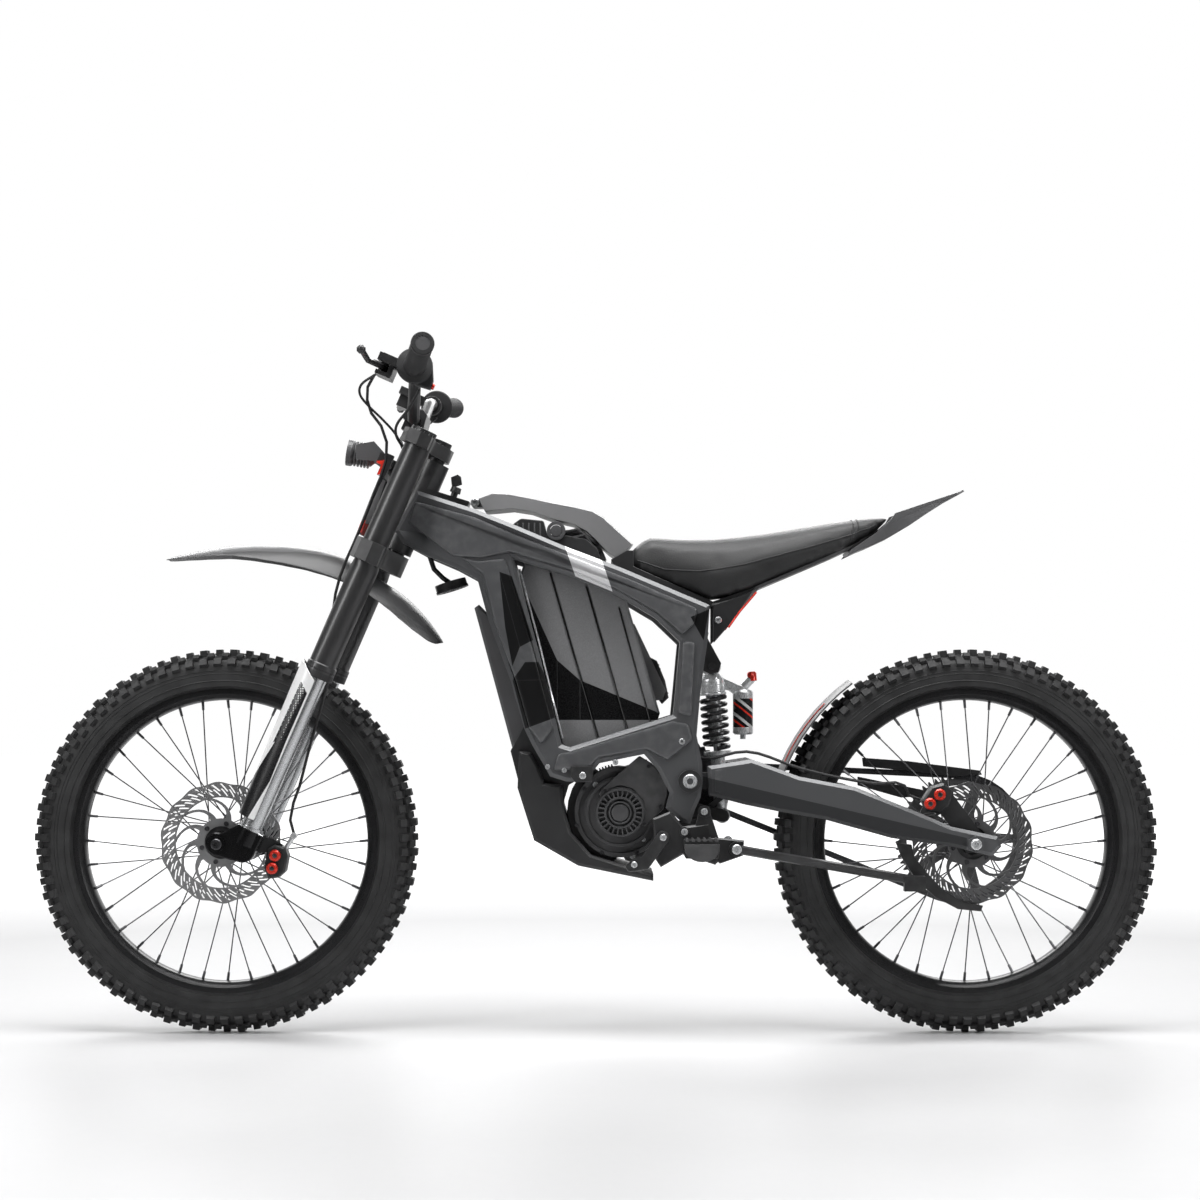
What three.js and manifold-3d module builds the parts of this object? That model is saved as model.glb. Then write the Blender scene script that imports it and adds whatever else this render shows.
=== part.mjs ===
// A full-size electric dirt bike, built as separate parts that move on real joints.
// Millimetres. +Z is up, the bike faces -X, and the rider's left side is -Y.
// The origin is on the ground, midway between the wheels.
import * as THREE from 'three';
import { mergeVertices } from 'three/addons/utils/BufferGeometryUtils.js';
import Module from 'manifold-3d';

const wasm = await Module();
wasm.setup();

// Driving dimensions
const WHEEL_R = 340;
const AXLE_X = 655; // half the wheelbase
const AXLE_Z = 340;
const RIM_OUT = 276;
const RIM_IN = 249;
const DISC_R = 108;
const RAKE = THREE.MathUtils.degToRad(23.5);
const LEG_Y = 100; // half the distance between the fork legs
const STEM_BACK = 28; // the steering axis lies this far behind the legs
const FORK_X = -450; // a point on the fork legs' line
const FORK_Z = 705;
const PIVOT = [162, 448]; // swingarm pivot, X and Z
const SHOCK_LOW = [224, 385];
const LINK_LOW = [199.4, 393.6];
const LINK_TOP = [225, 425];
const ROCKER = [150, 402];
const PEG_Y = 119; // where the footpegs hinge
const CHAIN_Y = 55;
const CHAIN_PITCH = 12.7;
const GAP = 0.3;

// ---------------------------------------------------------------- helpers

// A closed solid for joining and cutting, with its shared corners merged.
function solid(geometry) {
  const g = geometry.clone();
  g.deleteAttribute('normal');
  g.deleteAttribute('uv');
  const merged = mergeVertices(g, 1e-3);
  const p = merged.attributes.position.array;
  const tris = [];
  let volume = 0;
  for (let i = 0; i < merged.index.count; i += 3) {
    const [a, b, c] = [0, 1, 2].map((k) => merged.index.getX(i + k));
    if (a === b || b === c || c === a) continue;
    tris.push(a, b, c);
    const [A, B, C] = [a, b, c].map((k) => new THREE.Vector3().fromArray(p, 3 * k));
    volume += A.dot(B.cross(C));
  }
  if (volume < 0) {
    for (let i = 0; i < tris.length; i += 3) [tris[i], tris[i + 1]] = [tris[i + 1], tris[i]];
  }
  return new wasm.Manifold(
    new wasm.Mesh({ numProp: 3, vertProperties: p, triVerts: Uint32Array.from(tris) }),
  );
}

function geometryOf(manifold) {
  const mesh = manifold.getMesh();
  const g = new THREE.BufferGeometry();
  g.setAttribute('position', new THREE.BufferAttribute(mesh.vertProperties, 3));
  g.setIndex(new THREE.BufferAttribute(mesh.triVerts, 1));
  g.computeVertexNormals();
  return g;
}

const join = (...parts) => geometryOf(parts.map(solid).reduce((a, b) => a.add(b)));
const cut = (base, ...tools) =>
  geometryOf(tools.map(solid).reduce((a, b) => a.subtract(b), solid(base)));
const common = (a, b) => geometryOf(solid(a).intersect(solid(b)));
const moved = (g, x, y, z) => g.clone().translate(x, y, z);
const mirrored = (g) => geometryOf(solid(g.clone().scale(1, -1, 1)));

// An outline of [x, z] points made into a plate from y0 to y1, with bevelled edges.
function plate(points, y0, y1, bevel = 0, holes = []) {
  const flat = (list) => list.map(([x, z]) => new THREE.Vector2(x, z));
  const outline = flat(points);
  if (THREE.ShapeUtils.isClockWise(outline)) outline.reverse();
  const shape = new THREE.Shape(outline);
  for (const h of holes) shape.holes.push(new THREE.Path(flat(h)));
  const g = new THREE.ExtrudeGeometry(shape, {
    depth: y1 - y0 - 2 * bevel,
    bevelEnabled: bevel > 0,
    bevelThickness: bevel,
    bevelSize: bevel,
    bevelOffset: -bevel,
    bevelSegments: 1,
  });
  return g.rotateX(Math.PI / 2).translate(0, y1 - bevel, 0);
}

// A turned piece about the Y axis: the profile holds [radius, y] pairs.
const turned = (profile, sides = 24) =>
  new THREE.LatheGeometry(
    profile.map(([r, y]) => new THREE.Vector2(r, y)),
    sides,
  );

// A turned piece about the Z axis.
const turnedZ = (profile, sides = 24) => turned(profile, sides).rotateX(Math.PI / 2);

const box = (x0, x1, y0, y1, z0, z1) =>
  new THREE.BoxGeometry(x1 - x0, y1 - y0, z1 - z0).translate((x0 + x1) / 2, (y0 + y1) / 2, (z0 + z1) / 2);

// A bar between two points.
function bar(a, b, r0, r1 = r0, sides = 16) {
  const from = new THREE.Vector3(...a);
  const to = new THREE.Vector3(...b);
  const along = to.clone().sub(from);
  const g = new THREE.CylinderGeometry(r1, r0, along.length(), sides);
  g.translate(0, along.length() / 2, 0);
  g.applyQuaternion(
    new THREE.Quaternion().setFromUnitVectors(new THREE.Vector3(0, 1, 0), along.clone().normalize()),
  );
  return g.translate(from.x, from.y, from.z);
}

// A cylinder along Y through (x, z).
const pinY = (x, z, r, y0, y1, sides = 20) => bar([x, y0, z], [x, y1, z], r, r, sides);

// A path that stops at each given point, so a tube has one section at each.
class Stations extends THREE.Curve {
  constructor(points) {
    super();
    this.points = points;
  }
  getPoint(t, target = new THREE.Vector3()) {
    const s = t * (this.points.length - 1);
    const i = Math.min(Math.floor(s), this.points.length - 2);
    return target.copy(this.points[i]).lerp(this.points[i + 1], s - i);
  }
  getPointAt(t, target) {
    return this.getPoint(t, target);
  }
  getTangentAt(t, target = new THREE.Vector3()) {
    const s = Math.round(t * (this.points.length - 1));
    const before = this.points[Math.max(s - 1, 0)];
    const here = this.points[s];
    const after = this.points[Math.min(s + 1, this.points.length - 1)];
    target.set(0, 0, 0);
    if (here !== before) target.add(here.clone().sub(before).normalize());
    if (here !== after) target.add(after.clone().sub(here).normalize());
    return target.normalize();
  }
}

// A tube through the points; with steps it runs smoothly, otherwise straight between them.
function tube(points, radius, sides = 12, steps = 0) {
  let path = points.map((p) => new THREE.Vector3(...p));
  if (steps) path = new THREE.CatmullRomCurve3(path).getSpacedPoints(steps);
  const ring = new THREE.Shape(
    Array.from({ length: sides }, (_, k) => {
      const a = (2 * Math.PI * k) / sides;
      return new THREE.Vector2(radius * Math.cos(a), radius * Math.sin(a));
    }),
  );
  return new THREE.ExtrudeGeometry(ring, {
    steps: path.length - 1,
    extrudePath: new Stations(path),
    bevelEnabled: false,
  });
}

// A bent sheet: place(u, v, w) gives the point at u along, v across (-1 to 1) and w deep.
function sheet(along, across, place, deep = 1) {
  const g = new THREE.BoxGeometry(1, 1, 1, along, across, deep);
  const p = g.attributes.position;
  for (let i = 0; i < p.count; i++) {
    p.setXYZ(i, ...place(p.getX(i) + 0.5, 2 * p.getY(i), p.getZ(i) + 0.5));
  }
  return g;
}

// A value read off a list at u from 0 to 1.
function along(list, u) {
  const s = u * (list.length - 1);
  const i = Math.min(Math.floor(s), list.length - 2);
  const f = s - i;
  if (typeof list[0] === 'number') return list[i] * (1 - f) + list[i + 1] * f;
  return list[i].map((v, k) => v * (1 - f) + list[i + 1][k] * f);
}

// Moves each point of a piece sideways by an amount that depends on its X.
function sheared(g, shift) {
  const out = g.clone();
  const p = out.attributes.position;
  for (let i = 0; i < p.count; i++) p.setY(i, p.getY(i) + shift(p.getX(i)));
  return out;
}

const circle = (x, z, r, n = 16, from = 0, to = 360) =>
  Array.from({ length: n }, (_, k) => {
    const a = THREE.MathUtils.degToRad(from + ((to - from) * k) / (to - from === 360 ? n : n - 1));
    return [x + r * Math.cos(a), z + r * Math.sin(a)];
  });

// Turns a point given in X and Z into [back, up] on the raked fork.
function onFork(x, z) {
  const [dx, dz] = [x - FORK_X, z - FORK_Z];
  return [dx * Math.cos(RAKE) - dz * Math.sin(RAKE), dx * Math.sin(RAKE) + dz * Math.cos(RAKE)];
}

const finishes = {
  frame: { color: 0x4c4e50, roughness: 0.42, metalness: 0.75 },
  black: { color: 0x141415, roughness: 0.4, metalness: 0.5 },
  rubber: { color: 0x17181a, roughness: 0.85, metalness: 0 },
  plastic: { color: 0x6a6b6d, roughness: 0.5, metalness: 0 },
  darkPlastic: { color: 0x222324, roughness: 0.45, metalness: 0 },
  silver: { color: 0xc9cbcd, roughness: 0.25, metalness: 1 },
  disc: { color: 0x7b7d80, roughness: 0.35, metalness: 1 },
  seat: { color: 0x262728, roughness: 0.7, metalness: 0 },
  battery: { color: 0x5b5c5e, roughness: 0.25, metalness: 0.1 },
  red: { color: 0xd63426, roughness: 0.35, metalness: 0.2 },
  white: { color: 0xe8e8e8, roughness: 0.4, metalness: 0 },
};

const bike = new THREE.Group();
const raked = () => {
  const g = new THREE.Group();
  g.position.set(FORK_X, 0, FORK_Z);
  g.rotation.y = RAKE;
  return g;
};
const chassis = new THREE.Group();
const steering = raked();
const forkLower = raked();
const frontWheel = new THREE.Group();
frontWheel.position.set(-AXLE_X, 0, AXLE_Z);
const rearWheel = new THREE.Group();
rearWheel.position.set(AXLE_X, 0, AXLE_Z);
const swing = new THREE.Group();
bike.add(chassis, steering, forkLower, frontWheel, swing, rearWheel);

function add(group, name, geometry, finish) {
  const material = new THREE.MeshStandardMaterial(finishes[finish]);
  const mesh = new THREE.Mesh(geometryOf(solid(geometry)), material);
  mesh.name = name;
  group.add(mesh);
}

// ---------------------------------------------------------------- wheels

const SIDES = 28;

// A knobbly tyre: a hollow carcass with blocks round the tread.
function tyre() {
  const outer = [[268, 17], [277, 19.2], [292, 35], [317, 36], [331, 18]];
  const inner = [[324, 14], [300, 28], [268, 11.5]];
  const profile = [
    ...outer,
    ...outer.map(([r, y]) => [r, -y]).reverse(),
    ...inner.map(([r, y]) => [r, -y]).reverse(),
    ...inner,
    outer[0],
  ];
  let body = solid(turned(profile, SIDES));
  const rows = 24;
  for (let k = 0; k < rows; k++) {
    const turn = (2 * Math.PI * k) / rows;
    const [wide, low, high] = k % 2 ? [72, 312, 334] : [30, 324, WHEEL_R];
    const block = new THREE.BoxGeometry(high - low, wide, 38);
    block.translate((low + high) / 2, 0, 0);
    body = body.add(solid(block.rotateY(turn)));
  }
  return geometryOf(body);
}

function rim() {
  const half = [[RIM_OUT, 19.8], [RIM_OUT, 23], [262, 23], [RIM_IN, 9]];
  const inside = [[RIM_OUT - 9.4, 17]];
  return turned(
    [
      ...half,
      ...half.map(([r, y]) => [r, -y]).reverse(),
      ...inside.map(([r, y]) => [r, -y]),
      ...inside.slice().reverse(),
      half[0],
    ],
    SIDES,
  );
}

// A hub bored for its axle, with 36 crossed spokes that stop at the rim.
function hub(bore, halfLeft, halfRight) {
  const [l, r] = [-halfLeft, halfRight];
  let body = solid(
    turned(
      [[bore, l], [34, l], [34, l + 6], [21, -39], [31, -38], [31, -28], [20, -24],
        [20, 24], [31, 28], [31, 38], [22, r - 5], [34, r], [bore, r], [bore, l]],
      14,
    ),
  );
  for (let k = 0; k < 36; k++) {
    const side = k % 2 ? 1 : -1;
    const lean = k % 4 < 2 ? 1 : -1;
    const a = (k / 36) * 2 * Math.PI;
    const b = a + lean * 1.1;
    const inner = [28 * Math.cos(b), side * (33 + 2.6 * lean), 28 * Math.sin(b)];
    const outer = [246.6 * Math.cos(a), side * (5.6 + 2.6 * lean), 246.6 * Math.sin(a)];
    body = body.add(solid(bar(inner, outer, 1.8, 1.8, 3)));
  }
  return geometryOf(body);
}

// A brake disc: a slotted outer band held by curved arms to a round carrier.
function disc(y0, y1, boltR) {
  const wave = Array.from({ length: 30 }, (_, k) => {
    const a = (2 * Math.PI * k) / 30;
    const r = DISC_R - (k % 3 === 0 ? 2.5 : 0);
    return [r * Math.cos(a), r * Math.sin(a)];
  });
  const windows = Array.from({ length: 8 }, (_, k) => {
    const a = (2 * Math.PI * k) / 8;
    const at = (r, t) => [r * Math.cos(a + t), r * Math.sin(a + t)];
    return [at(77, -0.02), at(77, 0.54), at(60, 0.46), at(44, 0.2), at(44, -0.1)];
  });
  return plate(wave, y0, y1, 0, [circle(0, 0, boltR, 14), ...windows]);
}

add(frontWheel, 'front_tyre', tyre(), 'rubber');
add(frontWheel, 'front_rim', rim(), 'black');
add(frontWheel, 'front_hub', hub(9.4, 68.2, 60), 'black');
add(frontWheel, 'front_disc', disc(-72, -68.6, 22), 'disc');
add(rearWheel, 'rear_tyre', tyre(), 'rubber');
add(rearWheel, 'rear_rim', rim(), 'black');
add(rearWheel, 'rear_hub', hub(10.5, 82.2, 51.6), 'black');
add(rearWheel, 'rear_disc', disc(-86, -82.6, 22), 'disc');

// A chain sprocket with pointed teeth and lightening holes, centred on the Y axis.
function sprocket(teeth, thick, holes, bore) {
  const pitchR = CHAIN_PITCH / (2 * Math.sin(Math.PI / teeth));
  const points = [];
  for (let k = 0; k < teeth; k++) {
    for (const [part, r] of [[-0.5, -3.6], [0, 3.8]]) {
      const a = (2 * Math.PI * (k + part)) / teeth;
      points.push([(pitchR + r) * Math.cos(a), (pitchR + r) * Math.sin(a)]);
    }
  }
  return plate(points, -thick / 2, thick / 2, 0, [circle(0, 0, bore, 14), ...holes]);
}
const sprocketHoles = Array.from({ length: 5 }, (_, k) => {
  const a = (2 * Math.PI * k) / 5;
  return circle(72 * Math.cos(a), 72 * Math.sin(a), 22, 6);
});
add(rearWheel, 'rear_sprocket', moved(sprocket(56, 6, sprocketHoles, 24), 0, CHAIN_Y, 0), 'disc');

// ---------------------------------------------------------------- fork

const [axleBack, axleUp] = onFork(-AXLE_X, AXLE_Z);
const tubeTop = 384;
const tubeEnd = -84;
const clampLow = [133, 170];
const clampHigh = [352, 376];

const forkTube = turnedZ([
  [0, tubeTop], [23.4, tubeTop], [23.4, 132], [24.6, 122], [24.6, tubeEnd + 26],
  [26.8, tubeEnd + 24], [26.8, tubeEnd], [19.2, tubeEnd], [19.2, 330], [0, 330],
], 16);
for (const [side, y] of [['left', -LEG_Y], ['right', LEG_Y]]) {
  add(steering, `fork_tube_${side}`, moved(forkTube, 0, y, 0), 'black');
}

// A clamp across both fork tubes, with its outline given in back and y.
function clamp([low, high], stem, reach) {
  const half = [[stem + reach, 0], [stem + reach - 6, 26], [stem - 4, 60], [20, 128], [0, 137]];
  const front = [[-22, 130], [-33, 104], [-24, 66], [-14 - reach / 4, 30], [-16 - reach / 4, 0]];
  const outline = [...half, ...front];
  const all = [...outline, ...outline.slice(1, -1).reverse().map(([x, y]) => [x, -y])];
  const shape = new THREE.Shape(all.map(([x, y]) => new THREE.Vector2(x, y)));
  const g = new THREE.ExtrudeGeometry(shape, { depth: high - low, bevelEnabled: false });
  g.translate(0, 0, low);
  const bores = [-LEG_Y, LEG_Y].map((y) => bar([0, y, low - 5], [0, y, high + 5], 24.2, 24.2, 16));
  return cut(g, ...bores);
}
add(
  steering,
  'steering_stem',
  join(clamp(clampLow, STEM_BACK, 26), bar([STEM_BACK, 0, 168], [STEM_BACK, 0, 386], 16, 16, 20)),
  'black',
);
// Handlebar: a clamped middle, then rising ends that sweep back.
const barMid = onFork(-319.6, 1080.2);
const barPoint = (x, y, z) => {
  const [r, s] = onFork(x, z);
  return [r, y, s];
};
const barHalf = [
  barPoint(-319.6, 0, 1080.2),
  barPoint(-319.6, 56, 1080.2),
  barPoint(-318.5, 74, 1083),
  barPoint(-310, 152, 1129),
  barPoint(-308.5, 170, 1137),
  barPoint(-307.5, 192, 1140.5),
  barPoint(-305, 240, 1142),
  barPoint(-302.5, 256, 1143.6),
  barPoint(-278.7, 394, 1159.5),
];
const barPath = [...barHalf.slice(1).reverse().map(([x, y, z]) => [x, -y, z]), ...barHalf];
add(steering, 'handlebar', tube(barPath, 11, 10), 'black');

const bx = barMid[0];
const bz = barMid[1];
add(
  steering,
  'upper_clamp',
  cut(
    join(
      cut(clamp(clampHigh, STEM_BACK, 24), bar([STEM_BACK, 0, 340], [STEM_BACK, 0, 390], 16.6, 16.6, 20)),
      plate([[bx - 20, bz - 4], [bx + 20, bz - 4], [bx + 17, bz + 18], [bx + 8, bz + 23],
        [bx - 8, bz + 23], [bx - 17, bz + 18]], -46, 46),
      box(bx - 16, bx + 16, -44, -20, clampHigh[1] - 2, bz),
      box(bx - 16, bx + 16, 20, 44, clampHigh[1] - 2, bz),
    ),
    pinY(bx, bz, 11.5, -60, 60, 16),
  ),
  'frame',
);

// Grips, each bored for the bar; the right one is the throttle.
function grip(side) {
  const a = barPoint(-302.1, side * 258, 1143.9);
  const b = barPoint(-277.2, side * 401, 1160.5);
  const dir = new THREE.Vector3(...b).sub(new THREE.Vector3(...a)).normalize();
  const at = (d) => new THREE.Vector3(...a).addScaledVector(dir, d).toArray();
  return cut(
    join(
      bar(at(0), at(5), 30, 30, 16),
      bar(at(4), at(12), 24, 17.5, 12),
      bar(at(10), at(144), 16.5, 16, 12),
    ),
    bar(at(-5), at(141.2), 11.8, 11.8, 12),
  );
}
add(steering, 'grip_left', grip(-1), 'rubber');
add(steering, 'throttle_grip', grip(1), 'rubber');

// Brake perches with their cylinders and reservoirs, then the levers.
const perchLocal = (x, y, z) => new THREE.Vector3(...barPoint(x, y, z)).toArray();
function perch(side) {
  const [cx, , cz] = barPoint(-307, 0, 1141);
  const [fx, , fz] = barPoint(-352, 0, 1145);
  const y = [side * 212, side * 232].sort((a, b) => a - b);
  const long = [side * 178, side * 234].sort((a, b) => a - b);
  return cut(
    join(
      pinY(cx, cz, 17.5, y[0], y[1], 16),
      box(fx - 14, cx - 8, y[0], y[1], cz - 9, cz + 9),
      box(fx - 15, fx + 13, long[0], long[1], fz - 14, fz + 9),
      box(fx - 19, fx + 15, long[0] - 4, long[1] - 8, fz + 8, fz + 22),
    ),
    tube(barPath, 11.6, 12),
    box(fx - 30, fx + 4, side > 0 ? 205 : -240, side > 0 ? 240 : -205, fz - 7, fz + 7.4),
  );
}
add(steering, 'lever_perch_left', perch(-1), 'black');
add(steering, 'lever_perch_right', perch(1), 'black');

function lever(side) {
  const [fx, , fz] = barPoint(-352, 0, 1145);
  const end = perchLocal(-379, side * 372, 1155);
  const mid = perchLocal(-376, side * 300, 1149);
  return join(
    pinY(fx - 6, fz, 4.4, side * 212 - 6.2, side * 212 + 6.2, 12),
    bar([fx - 6, side * 214, fz - 5.8], [fx - 6, side * 214, fz + 5.8], 8.5, 8.5, 12),
    tube([[fx - 6, side * 214, fz], [fx - 11, side * 236, fz], mid, end], 5.4, 6),
    new THREE.SphereGeometry(8, 8, 6).translate(...end),
  );
}
add(steering, 'brake_lever_left', lever(-1), 'black');
add(steering, 'brake_lever_right', lever(1), 'black');

// Switch pod beside the left grip, with its button.
const pod = onFork(-290, 1119);
add(
  steering,
  'switch_pod',
  cut(
    plate([[pod[0] - 24, pod[1] + 30], [pod[0] + 2, pod[1] + 38], [pod[0] + 16, pod[1] + 10],
      [pod[0] + 17, pod[1] - 6], [pod[0] - 10, pod[1] - 9], [pod[0] - 32, pod[1] + 8]], -250, -234, 2),
    tube(barPath, 11.6, 12),
    bar([pod[0] + 12, -242, pod[1] + 1], [pod[0] + 30, -242, pod[1] + 1], 6.3, 6.3, 14),
  ),
  'darkPlastic',
);
add(
  steering,
  'switch_button',
  bar([pod[0] + 17.4, -242, pod[1] + 1], [pod[0] + 21.4, -242, pod[1] + 1], 5.5, 5, 14),
  'red',
);

// Headlight on its pivot, and the plate that carries it.
const lampPivot = onFork(-380, 1015);
const lampBack = onFork(-372, 1022);
const lampFront = onFork(-441, 1034);
add(
  steering,
  'headlight',
  join(
    bar([lampBack[0], 0, lampBack[1]], [lampFront[0], 0, lampFront[1]], 15, 21, 20),
    box(lampPivot[0] - 14, lampPivot[0] + 4, -34, 34, lampPivot[1] - 8.5, lampPivot[1] + 8.5),
  ),
  'darkPlastic',
);
add(
  steering,
  'number_plate',
  join(
    sheet(4, 4, (u, v, w) => {
      const s = 176 + 126 * u;
      const wide = along([36, 50, 58, 58, 52, 46, 40], u);
      return [-50 + 10 * Math.abs(v) ** 2 + 3 * w - 3 * u, wide * v, s];
    }),
    box(-51, -36, -58, -46, lampPivot[1] - 30, lampPivot[1] + 12),
    box(-51, -36, 46, 58, lampPivot[1] - 30, lampPivot[1] + 12),
    box(-62, -42, -46, -35, lampPivot[1] - 10, lampPivot[1] + 10),
    box(-62, -42, 35, 46, lampPivot[1] - 10, lampPivot[1] + 10),
    box(-47, -36, -62, 62, lampPivot[1] - 30, lampPivot[1] - 20),
  ),
  'white',
);

// Front fender: an arched blade that ends in a flap behind the fork.
const fenderTop = [[-762, 840], [-712, 853], [-655, 863], [-590, 867], [-520, 862], [-450, 849],
  [-417, 826], [-385, 805], [-340, 776], [-300, 738], [-270, 692]].map(([x, z]) => onFork(x, z));
const fenderEdge = [[-760, 838], [-708, 842], [-652, 845], [-590, 838], [-520, 824], [-450, 803],
  [-420, 785], [-396, 774], [-362, 748], [-328, 717], [-290, 690]].map(([x, z]) => onFork(x, z));
const fenderWide = [20, 40, 54, 60, 61, 61, 61, 60, 56, 48, 26];
add(
  steering,
  'front_fender',
  sheet(15, 6, (u, v, w) => {
    const top = along(fenderTop, u);
    const edge = along(fenderEdge, u);
    const f = Math.abs(v) ** 2.2;
    const [x, z] = [top[0] * (1 - f) + edge[0] * f, top[1] * (1 - f) + edge[1] * f];
    return [x, along(fenderWide, u) * v, z - 3 * (1 - w)];
  }),
  'plastic',
);

// Lower legs: bright stanchions with the axle lugs at their feet.
// The left one holds the axle, which passes through the right one.
const legLug = (y, bore) => {
  const outline = [
    ...circle(axleBack, axleUp, 20, 9, 95, 275),
    ...circle(2, axleUp + 8, 22, 7, -80, 10),
    [25, -372],
    [-19, -368],
  ];
  return cut(
    join(
      plate(outline, y - 16, y + 16, 2),
      turnedZ([[0, 75], [18.4, 75], [18.4, -388], [0, -388]], 14).translate(0, y, 0),
      turnedZ([[0, -366], [22, -366], [22, -400], [0, -400]], 14).translate(0, y, 0),
    ),
    pinY(axleBack, axleUp, bore, y - 30, y + 30, 16),
  );
};
const frontAxle = join(
  turned([[0, -114], [9, -114], [9, 118], [0, 118]], 16),
  turned([[0, 116.4], [13, 116.4], [13, 123], [0, 123]], 6),
  turned([[0, -112], [14, -112], [14, -120], [0, -120]], 16),
).translate(axleBack, 0, axleUp);
add(forkLower, 'fork_leg_left', join(legLug(-LEG_Y, 8), frontAxle), 'silver');
add(forkLower, 'fork_leg_right', legLug(LEG_Y, 9.5), 'silver');

// Fork guards: half shells ahead of the stanchions, drawn up to a point.
function guard(y) {
  const out = y < 0 ? -1 : 1;
  const shell = sheet(6, 8, (u, v, w) => {
    const r = 28.6 + 2.8 * w;
    const a = THREE.MathUtils.degToRad(165 + 78 * v);
    const s = -352 + 262 * u + (u > 0.85 ? (u - 0.85) * 180 * Math.max(0, Math.cos(a + Math.PI)) : 0);
    return [r * Math.cos(a) * (1 + 0.16 * u), y + out * r * Math.sin(a), s];
  });
  return shell;
}
add(forkLower, 'fork_guard_left', guard(-LEG_Y), 'white');
add(forkLower, 'fork_guard_right', guard(LEG_Y), 'white');

// Front caliper behind the left leg, straddling the disc.
const capA = onFork(-557.6, 318.8);
const capB = onFork(-562.5, 296.5);
const caliperPoints = [[-572, 330], [-560, 337], [-541, 333], [-536, 318], [-541, 290], [-552, 280],
  [-570, 278], [-577, 296]].map(([x, z]) => onFork(x, z));
const caliperArm = [[-606, 334], [-590, 352], [-562, 346], [-545, 336], [-560, 326], [-586, 322]].map(
  ([x, z]) => onFork(x, z),
);
add(
  forkLower,
  'front_caliper',
  cut(
    join(
      plate(caliperPoints, -90, -53, 3),
      plate(caliperArm, -77.4, -73.6, 0),
      pinY(...capA, 11, -94, -89, 16),
      pinY(...capB, 11, -94, -89, 16),
    ),
    pinY(axleBack, axleUp, DISC_R + 3, -73.4, -67.2, 24),
  ),
  'black',
);

// ---------------------------------------------------------------- chassis

// The side frames run close together at the head and stand wide from the tank back.
const narrow = (out) => (x) => (x < -130 ? (-out * (-130 - x) * 44) / 210 : 0);
const frameOutline = [
  [-314, 957], [-213, 923], [-133, 890], [-53, 856], [42, 820], [120, 787], [198, 754], [194, 690],
  [182, 607], [175, 527], [184, 482], [186, 448], [182, 420], [172, 398], [164, 374], [150, 376],
  [121, 401], [128, 427], [107, 468], [84, 495], [45, 487], [6, 479], [-5, 465], [-7, 446],
  [-51, 447], [-80, 456], [-89, 473], [-109, 507], [-124, 537], [-149, 623], [-187, 726],
  [-207, 800], [-246, 821], [-298, 843], [-341, 866], [-354, 887],
];
const frameWindow = [
  [-143, 834], [-90, 818], [-37, 802], [38, 770], [102, 732], [146, 690], [140, 626], [134, 563],
  [60, 540], [-45, 507], [-60, 512], [-98, 668],
];
const framePlate = cut(
  plate(frameOutline, -96, -66, 7, [frameWindow]),
  pinY(...PIVOT, 13.7, -120, 0, 14),
);
// A cylinder on the steering axis.
const headTube = (r, low, high) => {
  const g = bar([STEM_BACK, 0, low], [STEM_BACK, 0, high], r, r, 20);
  return g.rotateY(RAKE).translate(FORK_X, 0, FORK_Z);
};
const frameLeft = cut(sheared(framePlate, narrow(-1)), headTube(27.6, 100, 400));
const pivotBolt = join(
  pinY(...PIVOT, 13, -97, 99, 14),
  pinY(...PIVOT, 20, -104, -95, 14),
  pinY(...ROCKER, 6, -70, 60, 14),
);
add(chassis, 'frame_left', join(frameLeft, pivotBolt), 'frame');
add(
  chassis,
  'frame_right',
  join(mirrored(frameLeft), cut(pinY(...PIVOT, 20, 95, 104, 14), pinY(...PIVOT, 13.7, 80, 110, 14))),
  'frame',
);

// Head tube, bored for the stem, with webs that reach back between the side frames.
add(
  chassis,
  'head_tube',
  cut(
    join(
      headTube(27, 174, 346),
      plate([[-328, 930], [-205, 908], [-182, 850], [-210, 812], [-300, 858], [-345, 885]], -17, 17),
      box(-232, -206, -30, 30, 842, 882),
      plate([[-308, 966], [-224, 940], [-227, 931], [-310, 950]], -26, 26),
      plate([[-290, 958], [-240, 944], [-244, 900], [-300, 920]], -12, 12),
    ),
    headTube(16.7, 100, 400),
    bar([-250.8, 0, 958], [-262.2, 0, 925], 6.6, 6.6, 12),
  ),
  'frame',
);

// Cross-member behind the seat post, with the shock's upper fork.
const SHOCK_TOP = [204, 649];
add(
  chassis,
  'shock_mount',
  join(
    cut(
      join(
        plate([[118, 726], [152, 690], [172, 664], [190, 672], [197, 706], [186, 744], [150, 744]], -64, 64),
        plate([[166, 690], [188, 642], [200, 636], [216, 638], [221, 654], [196, 700]], -28, 28),
      ),
      box(160, 240, -15, 15, 600, 671),
    ),
    pinY(...SHOCK_TOP, 6, -32, 32, 14),
  ),
  'frame',
);

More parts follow.
